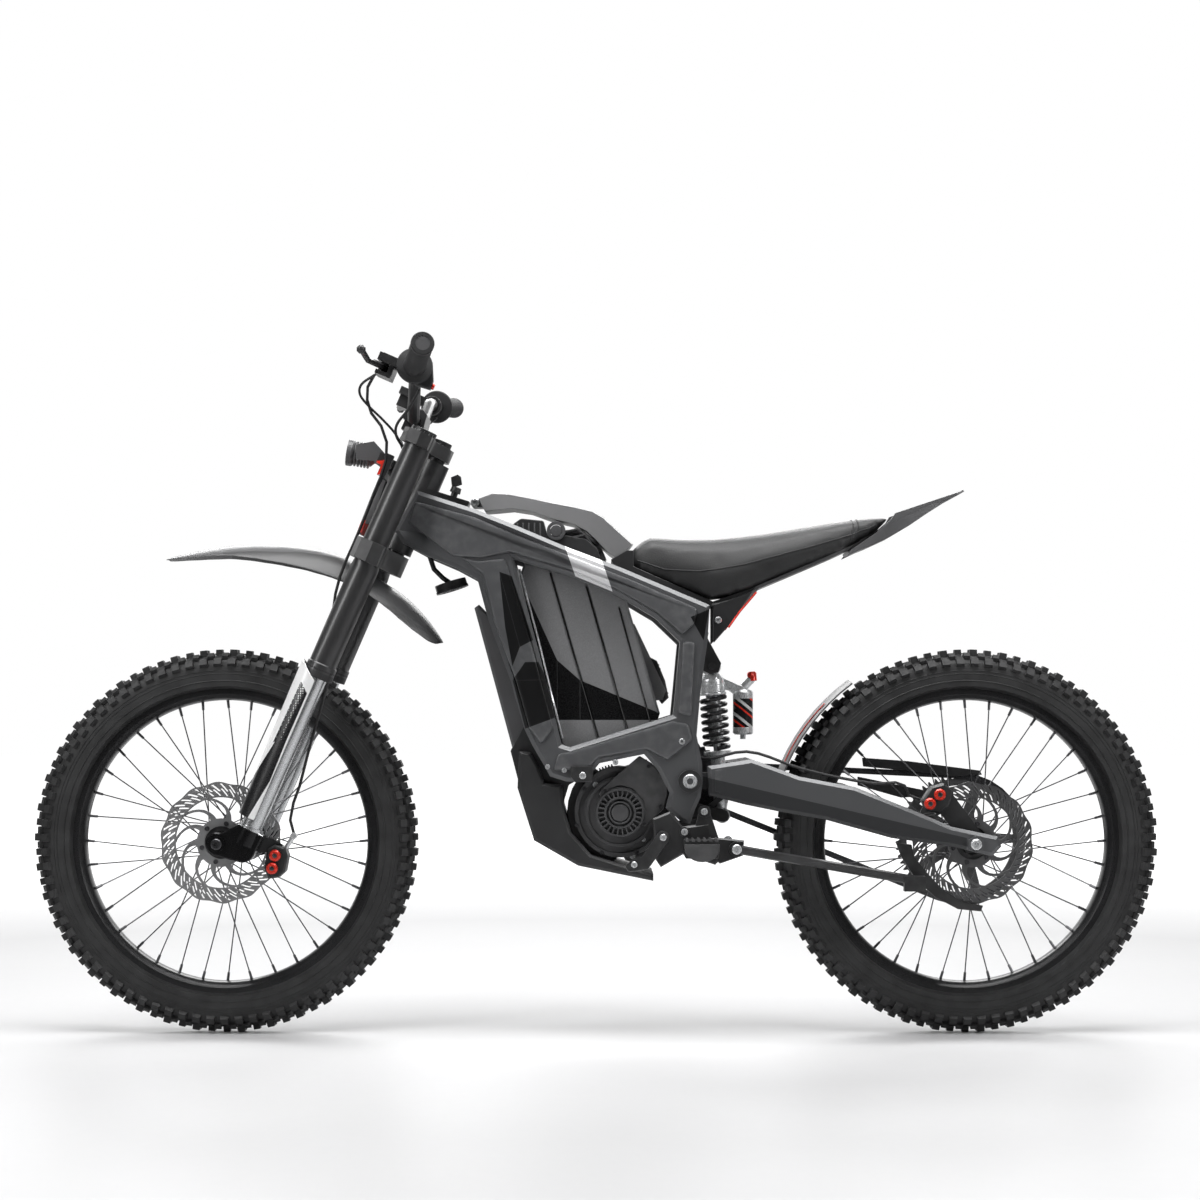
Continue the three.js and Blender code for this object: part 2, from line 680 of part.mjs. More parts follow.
// Battery between the frames, with three panels a side and a handle behind.
const batteryOutline = [
  [-134, 806], [-126, 829], [-92, 830], [-37, 815], [28, 789], [50, 776], [112, 566], [100, 530],
  [-40, 494], [-62, 512],
];
const grooves = [];
for (const [x0, z0, x1, z1] of [[-86, 830, 4, 520], [-22, 808, 54, 536]]) {
  for (const y of [-64, 64]) grooves.push([x0, z0, x1, z1, y]);
}
add(
  chassis,
  'battery_case',
  cut(
    join(
      plate(batteryOutline, -62, 62, 4),
      plate([[60, 722], [68, 724], [124, 606], [118, 590], [104, 588]], -16, 16),
    ),
    ...grooves.map(([x0, z0, x1, z1, y]) => bar([x0, y, z0], [x1, y, z1], 5, 5, 4)),
  ),
  'battery',
);
add(
  chassis,
  'downtube_cover',
  plate([[-214, 751], [-206, 757], [-176, 726], [-141, 626], [-119, 546], [-112, 512], [-147, 504]],
    -46, 46, 4),
  'plastic',
);

// Belly cover under the motor, open above for it.
const MOTOR = [42, 393];
const belly = [
  [-134, 500], [-137, 436], [-108, 344], [-31, 300], [100, 273.5], [100, 286], [60, 298],
  [-8, 319], [-43, 358], [-57, 404], [-59, 441], [-90, 444], [-99, 470], [-114, 498],
];
add(chassis, 'skid_plate', plate(belly, -82, 82, 5), 'darkPlastic');

// Motor: a ribbed drum, its side cover and hub cap.
add(
  chassis,
  'motor',
  join(
    pinY(...MOTOR, 79, -60, 56, 28),
    pinY(...MOTOR, 63, -72, -58, 20),
    pinY(...MOTOR, 45, -80, -70, 16),
    pinY(...MOTOR, 20, -84, -78, 12),
    plate([[88, 486], [116, 452], [122, 428], [116, 402], [98, 388], [80, 430]], -64, -50),
    plate([[20, 462], [66, 476], [104, 462], [118, 416], [104, 330], [70, 318], [60, 380]], -52, 30, 3),
  ),
  'black',
);
// Frame foot: joins the side frames under the motor and carries the pegs and the stand.
const cradle = (y0, y1) =>
  plate([[98, 384], [128, 396], [150, 370], [196, 376], [200, 350], [218, 316], [206, 304],
    [150, 322], [112, 300], [104, 312]], y0, y1, 3);
add(
  chassis,
  'peg_carrier',
  cut(
    join(
      cradle(-118, -98),
      cradle(98, 118),
      box(122, 150, -100, 100, 330, 352),
      plate([[196, 352], [256, 346], [254, 320], [214, 306], [186, 330]], -118, -98, 2),
    ),
    pinY(242, 332, 7.4, -140, -90, 12),
  ),
  'black',
);

// Footpegs hinge up on pins that run fore and aft.
function peg(side) {
  const [a, b] = [side * PEG_Y, side * 196].sort((p, q) => p - q);
  const toothed = cut(
    box(152, 208, a, b, 320, 343),
    box(164, 196, Math.min(side * 126, side * 188), Math.max(side * 126, side * 188), 310, 350),
  );
  const teeth = [];
  for (let k = 0; k < 3; k++) {
    const y = side * (136 + 20 * k);
    teeth.push(box(151, 209, y - 2.5, y + 2.5, 336, 350));
  }
  return join(toothed, ...teeth);
}
add(chassis, 'footpeg_left', peg(-1), 'black');
add(chassis, 'footpeg_right', peg(1), 'black');

// Kickstand folded back along the left side, with its foot.
const STAND = [242, 332];
add(
  chassis,
  'kickstand',
  join(
    plate(circle(...STAND, 13, 14), -130, -118.6),
    pinY(...STAND, 7, -126, -99, 12),
    tube([[242, -128, 332], [300, -132, 322], [545, -132, 279]], 8, 8),
    box(530, 566, -142, -123, 260, 286),
  ),
  'black',
);

// Seat: a long cushion that rises to the tail, over a base whose blade goes on behind it.
const seatTop = [[48, 838], [72, 868], [95, 879], [144, 873], [214, 873], [287, 880], [350, 890],
  [410, 900], [470, 909], [524, 915]];
const seatLow = [[44, 828], [80, 812], [120, 795], [165, 776], [206, 760], [262, 778], [328, 806],
  [392, 833], [455, 860], [522, 909]];
const seatWide = [28, 44, 52, 58, 64, 68, 70, 68, 58, 34];
add(
  chassis,
  'seat_cushion',
  sheet(14, 6, (u, v, w) => {
    const [x0, z0] = along(seatLow, u);
    const [x1, z1] = along(seatTop, u);
    const f = w * (1 - 0.22 * Math.abs(v) ** 2.5);
    const wide = along(seatWide, u) * (1 - 0.22 * w * w);
    return [x0 + (x1 - x0) * f, wide * v, z0 + GAP + 3 + (z1 - z0 - 3) * f];
  }, 2),
  'seat',
);
const seatPost = [[203, 757], [240, 767], [287, 786], [230, 716], [207, 690], [201, 700]];
const tailTop = [[440, 852], [478, 875], [520, 905], [560, 922], [604, 943], [648, 963]];
add(
  chassis,
  'rear_fender',
  cut(
    join(
      sheet(8, 2, (u, v, w) => {
        const [x, z] = along(seatLow.slice(4), 0.93 * u);
        return [x, (along(seatWide.slice(4), u) - 14) * v, z + 2.6 - 6 * (1 - w)];
      }),
      plate(seatPost, -60, -44, 2),
      plate(seatPost, 44, 60, 2),
      sheet(6, 2, (u, v, w) => {
        const [x, z] = along(tailTop, u);
        const low = along([5, 12, 20, 12, 6, 3], u) * (1 - w) + 1.5 * v * v;
        return [x + 0.5 * low + 2, along([46, 48, 46, 40, 30, 14], u) * v, z - low];
      }),
    ),
    box(150, 205.6, -70, 70, 680, 756),
  ),
  'plastic',
);

// Top cover over the electronics, hinged at the front.
const coverTop = [[-208, 946], [-179, 958], [-138, 951], [-89, 941], [-40, 932], [3, 923], [19, 909],
  [44, 886], [66, 866]];
const coverLow = [[-196, 922], [-171, 924], [-130, 928], [-89, 911], [-40, 899], [-10, 883], [8, 862],
  [20, 850], [40, 836]];
add(
  chassis,
  'top_cover',
  join(
    sheet(10, 4, (u, v, w) => {
      const [x0, z0] = along(coverLow, u);
      const [x1, z1] = along(coverTop, u);
      const f = w * (1 - 0.1 * v * v);
      return [x0 + (x1 - x0) * f, 43 * v * (1 - 0.1 * w), z0 + (z1 - z0) * f];
    }),
    pinY(-214, 938, 8, -20, 20, 14),
    box(-214, -190, -20, 20, 930, 944),
  ),
  'plastic',
);
add(
  chassis,
  'controller',
  join(
    box(-144, -88, -52, 52, 838, 906),
    box(-90, -8, -54, 54, 832, 870),
    pinY(-72, 884, 15, -52, 52, 20),
  ),
  'darkPlastic',
);

// Horn under the head, and the key switch above it.
add(
  chassis,
  'horn',
  join(
    bar([-255, 0, 785], [-259.4, 0, 799], 28.5, 28.5, 18),
    tube([[-259, 0, 797], [-272, 0, 806], [-288, 0, 822], [-296, 0, 846]], 5, 6),
  ),
  'black',
);
add(
  chassis,
  'key_switch',
  join(
    bar([-251, 0, 957.4], [-247.6, 0, 967.3], 10, 9, 14),
    bar([-260.5, 0, 929.9], [-250, 0, 960.3], 6, 6, 12),
  ),
  'black',
);

// ---------------------------------------------------------------- swingarm

const armOutline = [
  [194, 474], [271, 486], [312, 471], [353, 456], [449, 438], [554, 396], [614, 370], [694, 353],
  [700, 336], [684, 319], [614, 336], [511, 350], [396, 382], [315, 396], [256, 408], [196, 424],
];
const armShift = (x) => (-22 * (x - 194)) / 461;
const leftArm = sheared(
  plate(armOutline, -100, -72, 6),
  armShift,
);
const armBridge = join(
  pinY(...PIVOT, 24, -64.5, 46, 14),
  box(162, 250, -64.5, -38, 434, 462),
  box(162, 250, 26, 46, 436, 460),
  box(244, 268, -78, 78, 436, 460),
  box(262, 313, -20, 20, 440, 446),
  box(214, 240, -43, -33, 417, 440),
  box(214, 240, 33, 43, 417, 440),
);
const rearAxle = join(
  turned([[0, -118], [10, -118], [10, 118], [0, 118]], 16),
  turned([[0, 114], [15, 114], [15, 128], [0, 128]], 6),
  turned([[0, -114], [15, -114], [15, -128], [0, -128]], 6),
).translate(AXLE_X, 0, AXLE_Z);
add(
  swing,
  'swingarm',
  join(
    cut(join(leftArm, mirrored(leftArm), armBridge), pinY(...PIVOT, 13.7, -70, 70, 14)),
    pinY(...LINK_TOP, 5.4, -36, -14.6, 12),
    pinY(...LINK_TOP, 5.4, 14.6, 36, 12),
    rearAxle,
  ),
  'frame',
);

// Rear caliper above the arm, with its bracket from the axle.
const rearCapA = [596, 425];
const rearCapB = [579, 409];
add(
  swing,
  'rear_caliper',
  cut(
    join(
      plate([[574, 396], [566, 414], [582, 438], [604, 444], [622, 432], [612, 404], [596, 392]], -98, -68, 3),
      pinY(...rearCapA, 10.5, -103, -97, 16),
      pinY(...rearCapB, 10.5, -103, -97, 16),
      plate([[592, 400], [618, 428], [664, 366], [674, 352], [668, 324], [644, 322], [634, 346]], -91.4, -87.5),
    ),
    pinY(AXLE_X, AXLE_Z, DISC_R + 3, -87.5, -81.2, 24),
    pinY(AXLE_X, AXLE_Z, 10.6, -140, 0, 16),
  ),
  'black',
);

// Rear hugger: a curved blade over the front of the rear tyre.
add(
  swing,
  'rear_hugger',
  sheet(9, 4, (u, v, w) => {
    const a = THREE.MathUtils.degToRad(126 + 40 * u);
    const r = 350 + 3 * w - 7 * v * v + 3 * u * u;
    return [AXLE_X + r * Math.cos(a), along([30, 44, 46, 46], u) * v, AXLE_Z + r * Math.sin(a)];
  }),
  'plastic',
);

// Chain: two rows of side plates joined by rollers on its straight runs.
const frontPitch = CHAIN_PITCH / (2 * Math.sin(Math.PI / 14));
const rearPitch = CHAIN_PITCH / (2 * Math.sin(Math.PI / 56));
function chain() {
  const [ax, az] = PIVOT;
  const dx = AXLE_X - ax;
  const dz = AXLE_Z - az;
  const length = Math.hypot(dx, dz);
  const tilt = THREE.MathUtils.radToDeg(Math.atan2(dz, dx));
  const open = THREE.MathUtils.radToDeg(Math.acos((rearPitch - frontPitch) / length));
  const loop = (grow) => [
    ...circle(ax, az, frontPitch + grow, 7, tilt + 180 - open, tilt + 180 + open),
    ...circle(AXLE_X, AXLE_Z, rearPitch + grow, 17, tilt - 180 + open, tilt + 180 - open),
  ];
  const rows = [[-5.8, -4], [4, 5.8]].map(([a, b]) =>
    plate(loop(5.2), CHAIN_Y + a, CHAIN_Y + b, 0, [loop(-5.2)]),
  );
  const pins = [];
  for (const side of [1, -1]) {
    const turn = THREE.MathUtils.degToRad(tilt + side * (180 - open));
    const normal = [Math.cos(turn), Math.sin(turn)];
    const a = [ax + frontPitch * normal[0], az + frontPitch * normal[1]];
    const b = [AXLE_X + rearPitch * normal[0], AXLE_Z + rearPitch * normal[1]];
    for (let k = 1; k < 6; k++) {
      const f = 0.1 + (0.76 * k) / 6;
      const [x, z] = [a[0] + (b[0] - a[0]) * f, a[1] + (b[1] - a[1]) * f];
      pins.push(pinY(x, z, 3.9, CHAIN_Y - 5, CHAIN_Y + 5, 5));
    }
  }
  return join(...rows, ...pins);
}
add(swing, 'chain', chain(), 'disc');

// Jackshaft: the big driven gear and the front sprocket turn round the swingarm pivot.
const gearPoints = [];
for (let k = 0; k < 36; k++) {
  for (const [part, r] of [[-0.5, 62.5], [0, 67]]) {
    const a = (2 * Math.PI * (k + part)) / 36;
    gearPoints.push([r * Math.cos(a), r * Math.sin(a)]);
  }
}
add(
  chassis,
  'jackshaft',
  join(
    plate(gearPoints, 61.4, 65.4, 0, [circle(0, 0, 13.8, 14)]),
    moved(sprocket(14, 6, [], 13.8), 0, CHAIN_Y, 0),
    turned([[13.8, 47], [20, 47], [20, 65], [13.8, 65], [13.8, 47]], 14),
  ).translate(PIVOT[0], 0, PIVOT[1]),
  'disc',
);

// Rear shock: body and reservoir above, rod below, and the rocker and link that drive it.
const shockLength = Math.hypot(SHOCK_LOW[0] - SHOCK_TOP[0], SHOCK_LOW[1] - SHOCK_TOP[1]);
const shock = new THREE.Group();
shock.position.set(SHOCK_TOP[0], 0, SHOCK_TOP[1]);
shock.rotation.y = Math.atan2(SHOCK_TOP[0] - SHOCK_LOW[0], SHOCK_TOP[1] - SHOCK_LOW[1]);
bike.add(shock);
add(
  shock,
  'shock_body',
  cut(
    join(
      pinY(0, 0, 14, -12, 12, 16),
      turnedZ([[0, -4], [12, -4], [12, -16], [22, -20], [22, -36], [26, -40], [26, -46], [15, -47],
        [15, -104], [0, -104]], 16),
      plate([[0, -18], [0, -36], [20, -38], [44, -48], [66, -52], [66, -40], [44, -28], [20, -20]], -9, 9),
      turnedZ([[0, -38], [17.7, -38], [17.7, -118], [0, -118]], 12).translate(58, 0, 0),
      turnedZ([[0, -14], [6, -14], [6, -40], [0, -40]], 8).translate(60, 0, 0),
    ),
    pinY(0, 0, 6.4, -40, 40, 14),
    turnedZ([[0, -52], [6.8, -52], [6.8, -120], [0, -120]], 12),
  ),
  'silver',
);
const rodEye = -shockLength;
add(
  shock,
  'shock_rod',
  cut(
    join(
      turnedZ([[0, -100], [6.2, -100], [6.2, -150], [25, -151], [25, -157], [13, -160],
        [13, 26 - shockLength], [9, 10 - shockLength], [0, 10 - shockLength]], 16),
      pinY(0, rodEye, 14, -9, 9, 16),
    ),
    pinY(0, rodEye, 8.6, -40, 40, 14),
  ),
  'silver',
);
const coil = [];
const turns = 6.5;
for (let k = 0; k <= turns * 8; k++) {
  const a = (2 * Math.PI * k) / 8;
  coil.push([20.5 * Math.cos(a), 20.5 * Math.sin(a), -50.4 - (96 * k) / (turns * 8)]);
}
add(shock, 'shock_spring', tube(coil, 3.6, 4), 'black');
const strap = ([ax, az], [bx, bz], r, y0, y1, waist = r) => {
  const angle = Math.atan2(bz - az, bx - ax);
  const turn = THREE.MathUtils.radToDeg(angle);
  const side = (k) => [(ax + bx) / 2 + k * Math.sin(angle), (az + bz) / 2 - k * Math.cos(angle)];
  return plate(
    [...circle(ax, az, r, 7, turn + 90, turn + 270), side(waist),
      ...circle(bx, bz, r, 7, turn - 90, turn + 90), side(-waist)],
    y0,
    y1,
  );
};
add(
  chassis,
  'shock_rocker',
  join(
    cut(
      join(strap(ROCKER, SHOCK_LOW, 11, -31, -23), strap(ROCKER, SHOCK_LOW, 11, 23, 31)),
      pinY(...ROCKER, 6.4, -50, 50, 14),
    ),
    pinY(...SHOCK_LOW, 5.6, -27, 27, 12),
    pinY(...LINK_LOW, 5.2, -27, 27, 12),
  ),
  'black',
);
add(
  swing,
  'shock_link',
  cut(
    join(
      strap(LINK_LOW, LINK_TOP, 9, -21, -15, 4.5),
      strap(LINK_LOW, LINK_TOP, 9, 15, 21, 4.5),
      pinY(...LINK_LOW, 8.8, -16, 16, 14),
    ),
    pinY(...LINK_LOW, 6.7, -50, 50, 14),
    pinY(...LINK_TOP, 6, -50, 50, 12),
  ),
  'black',
);

// Brake hoses, each one whole from its lever cylinder to its caliper.
const hoseAt = (points) => points.map(([x, y, z]) => barPoint(x, y, z));
add(
  steering,
  'front_brake_hose',
  tube(
    hoseAt([[-377, 178, 1141], [-392, 150, 1120], [-390, 110, 1088], [-368, 82, 1055],
      [-366, 74, 1010], [-388, 70, 950], [-416, 68, 880], [-446, 67, 810], [-458, 68, 760],
      [-460, 70, 715], [-462, 70, 670], [-470, 71, 615], [-484, 79, 560], [-502, 82, 495],
      [-516, 82, 440], [-530, 80, 400], [-533, 76, 372], [-526, 72, 350]]
      .map(([x, y, z]) => [x, -y, z])),
    2.6, 8, 28,
  ),
  'black',
);
add(
  chassis,
  'rear_brake_hose',
  tube(
    [[150, -50, 500], [172, -58, 492], [196, -66, 486], [222, -78, 492], [250, -88, 499],
      [274, -91, 498], [304, -92, 489], [340, -93, 475], [400, -97, 459], [445, -101, 450],
      [485, -102, 444], [518, -98, 446], [534, -92, 444], [541, -86, 428], [552, -84, 418],
      [564, -84, 416]],
    2.6, 8, 22,
  ),
  'black',
);

export default bike;
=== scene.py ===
"""Looks of an electric dirt motorcycle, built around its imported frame.

Metres, +Z up, the bike faces -X and its left side is -Y.  Lists of places
are in millimetres and go through mm().
"""
import math

import bmesh
import bpy
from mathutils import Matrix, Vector


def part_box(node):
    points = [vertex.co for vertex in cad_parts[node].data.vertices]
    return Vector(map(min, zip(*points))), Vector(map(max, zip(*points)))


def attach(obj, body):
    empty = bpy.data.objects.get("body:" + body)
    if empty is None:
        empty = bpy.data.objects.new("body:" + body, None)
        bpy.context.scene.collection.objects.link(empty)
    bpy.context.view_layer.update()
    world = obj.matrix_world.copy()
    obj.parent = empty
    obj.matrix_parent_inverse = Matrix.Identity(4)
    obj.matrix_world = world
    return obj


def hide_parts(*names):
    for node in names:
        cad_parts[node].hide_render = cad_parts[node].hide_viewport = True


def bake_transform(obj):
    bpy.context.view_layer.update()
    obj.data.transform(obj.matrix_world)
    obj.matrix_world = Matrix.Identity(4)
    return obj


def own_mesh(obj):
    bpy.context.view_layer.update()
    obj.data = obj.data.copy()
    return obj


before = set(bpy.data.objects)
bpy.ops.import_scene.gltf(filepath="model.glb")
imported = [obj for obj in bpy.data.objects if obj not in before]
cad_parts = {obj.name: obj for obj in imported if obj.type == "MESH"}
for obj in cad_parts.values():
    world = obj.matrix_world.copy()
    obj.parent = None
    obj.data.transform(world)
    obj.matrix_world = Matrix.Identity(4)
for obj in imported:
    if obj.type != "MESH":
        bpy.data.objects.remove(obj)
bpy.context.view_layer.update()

AXLE_X = 0.655
AXLE_Z = 0.340
RIM_OUT = 0.276
RIM_IN = 0.249
BEAD_R = 0.274
TYRE_TALL = 0.057
TYRE_R = 0.331
TYRE_HALF = 0.038
TYRE_POWER = 0.72
KNOBS = 79
SPOKES = 36
RAKE = math.radians(23.5)
UP = Vector((math.sin(RAKE), 0, math.cos(RAKE)))
BACK = Vector((math.cos(RAKE), 0, -math.sin(RAKE)))
FORK = Vector((-0.450, 0, 0.705))
CHAIN_Y = 0.055
SHOCK_TOP = Vector((0.204, 0, 0.649))
SHOCK_LOW = Vector((0.224, 0, 0.385))
MOTOR = (42, 393)
SIDES = (-1, 1)
TIP = 0.0001                # a turned shape starts this close to its axis
JOIN = 0.00002              # corners closer than this are one corner
SHARP = math.radians(35)    # edges sharper than this stay sharp
ROUNDED = math.radians(32)  # edges sharper than this get a bevel


def mm(*values):
    return [v / 1000 for v in values]


def fork(back, y, up):
    """A point given by its place behind and along the fork legs, in mm."""
    return FORK + BACK * (back / 1000) + UP * (up / 1000) + Vector((0, y / 1000, 0))


def spoke(angle):
    """Directions out from the wheel's middle and along its turn."""
    return (Vector((math.cos(angle), 0, math.sin(angle))),
            Vector((-math.sin(angle), 0, math.cos(angle))))


# ------------------------------------------------------------ materials

class Nodes:
    """A short way to write a material's node tree."""

    def __init__(self, name):
        self.mat = bpy.data.materials.new(name)
        self.mat.use_nodes = True
        self.tree = self.mat.node_tree
        self.shader = self.tree.nodes["Principled BSDF"]
        self.place = self.new("ShaderNodeTexCoord").outputs["Object"]

    def new(self, kind, **values):
        node = self.tree.nodes.new(kind)
        for key, value in values.items():
            setattr(node, key, value)
        return node

    def link(self, a, b):
        self.tree.links.new(a, b)

    def feed(self, name, value):
        """Give an input of the shader a number, a colour or a socket."""
        socket = self.shader.inputs[name]
        if isinstance(value, (int, float, tuple)):
            socket.default_value = value
        else:
            self.link(value, socket)

    def math(self, kind, a, b=None, clamp=False):
        node = self.new("ShaderNodeMath", operation=kind, use_clamp=clamp)
        for socket, value in zip(node.inputs, (a, b)):
            if value is None:
                continue
            if isinstance(value, (int, float)):
                socket.default_value = value
            else:
                self.link(value, socket)
        return node.outputs[0]

    def noise(self, scale, detail=3.0, stretch=None):
        node = self.new("ShaderNodeTexNoise")
        node.inputs["Scale"].default_value = scale
        node.inputs["Detail"].default_value = detail
        place = self.place
        if stretch:
            mapping = self.new("ShaderNodeMapping")
            mapping.inputs["Scale"].default_value = stretch
            self.link(place, mapping.inputs["Vector"])
            place = mapping.outputs[0]
        self.link(place, node.inputs["Vector"])
        return node.outputs["Fac"]

    def spread(self, fac, low, high, start=0.35, end=0.65):
        node = self.new("ShaderNodeMapRange")
        values = (start, end, low, high)
        for socket, value in zip(list(node.inputs)[1:5], values):
            socket.default_value = value
        self.link(fac, node.inputs[0])
        return node.outputs[0]

    def mix(self, fac, a, b):
        node = self.new("ShaderNodeMix", data_type="RGBA")
        self.link(fac, node.inputs["Factor"])
        for socket, value in ((node.inputs[6], a), (node.inputs[7], b)):
            if isinstance(value, tuple):
                socket.default_value = (*value, 1)
            else:
                self.link(value, socket)
        return node.outputs[2]

    def bump(self, height, depth, strength=0.5, under=None):
        node = self.new("ShaderNodeBump")
        node.inputs["Strength"].default_value = strength
        node.inputs["Distance"].default_value = depth
        self.link(height, node.inputs["Height"])
        if under:
            self.link(under, node.inputs["Normal"])
        return node.outputs[0]

    def edge(self, points):
        """1 inside a convex outline of X and Z places in mm, else 0."""
        mask = None
        count = len(points)
        area = sum(points[i][0] * points[(i + 1) % count][1]
                   - points[(i + 1) % count][0] * points[i][1] for i in range(count))
        for i in range(count):
            (ax, az), (bx, bz) = points[i], points[(i + 1) % count]
            nx, nz = (az - bz, bx - ax) if area > 0 else (bz - az, ax - bx)
            long = math.hypot(nx, nz)
            dot = self.new("ShaderNodeVectorMath", operation="DOT_PRODUCT")
            dot.inputs[1].default_value = (nx / long, 0, nz / long)
            self.link(self.place, dot.inputs[0])
            shift = (nx * ax + nz * az) / long / 1000
            side = self.math("SUBTRACT", dot.outputs["Value"], shift)
            side = self.math("MULTIPLY", side, 4000, clamp=True)
            mask = side if mask is None else self.math("MINIMUM", mask, side)
        return mask

    def axis(self, index):
        node = self.new("ShaderNodeSeparateXYZ")
        self.link(self.place, node.inputs[0])
        return node.outputs[index]


def finish(name, color, rough, metal=0.0, vary=0.12, scale=9.0, grain=700.0,
           depth=0.00008, coat=0.0, coat_rough=0.1, stretch=None, edge_tone=None,
           prints_and_painted_shade=(), rough_span=0.06):
    """A procedural finish: mottled colour, uneven gloss and a fine grain."""
    n = Nodes(name)
    cloud = n.noise(scale)
    light = tuple(min(1, c * (1 + vary) + 0.002) for c in color)
    dark = tuple(c * (1 - vary) for c in color)
    tone = n.mix(n.spread(cloud, 0, 1), dark, light)
    # Lighter patches on sharp, pointy edges, broken up by noise.
    if edge_tone:
        geometry = n.new("ShaderNodeNewGeometry")
        edges = n.spread(geometry.outputs["Pointiness"], 0, 1, 0.53, 0.62)
        edge_patches = n.math("MULTIPLY", edges, n.spread(n.noise(60), 0, 1, 0.4, 0.7))
        tone = n.mix(edge_patches, tone, edge_tone)
    # Marks inside outlines: printed graphics, and painted shade on the fender sides
    # and the swingarm.
    for outline, shade in prints_and_painted_shade:
        tone = n.mix(n.edge(outline), tone, shade)
    n.feed("Base Color", tone)
    fine = n.noise(grain, 2.0, stretch)
    n.feed("Roughness", n.spread(fine, rough - rough_span, rough + rough_span,
                                 0.3, 0.7))
    n.feed("Normal", n.bump(fine, depth))
    n.feed("Metallic", metal)
    n.feed("Coat Weight", coat)
    n.feed("Coat Roughness", coat_rough)
    return n


GREY = (0.098, 0.100, 0.104)
BLACK = (0.010, 0.010, 0.011)
WHITE = (0.78, 0.78, 0.78)
RED = (0.70, 0.035, 0.018)

PLAQUE = [(164, 733), (197, 747), (187, 692)]
STRIPE = [(-55, 858), (10, 832), (29, 777), (-36, 804)]
GLOSS = (0.006, 0.006, 0.0065)
frame_decals = [
    (STRIPE, (0.74, 0.74, 0.75)), (PLAQUE, GLOSS),
    ([(-168, 812), (-146, 804), (-109, 693), (-132, 681)], GLOSS),
    ([(-168, 812), (-132, 681), (-145, 647), (-158, 716)], GLOSS),
    ([(-145, 623), (-123, 655), (-100, 655), (-84, 624)], GLOSS),
    ([(-145, 623), (-84, 624), (-66, 560), (-123, 539)], GLOSS),
]
fork_decals = [([(-700, 415), (-540, 336), (-540, 250), (-700, 250)],
                (0.02, 0.02, 0.021))]
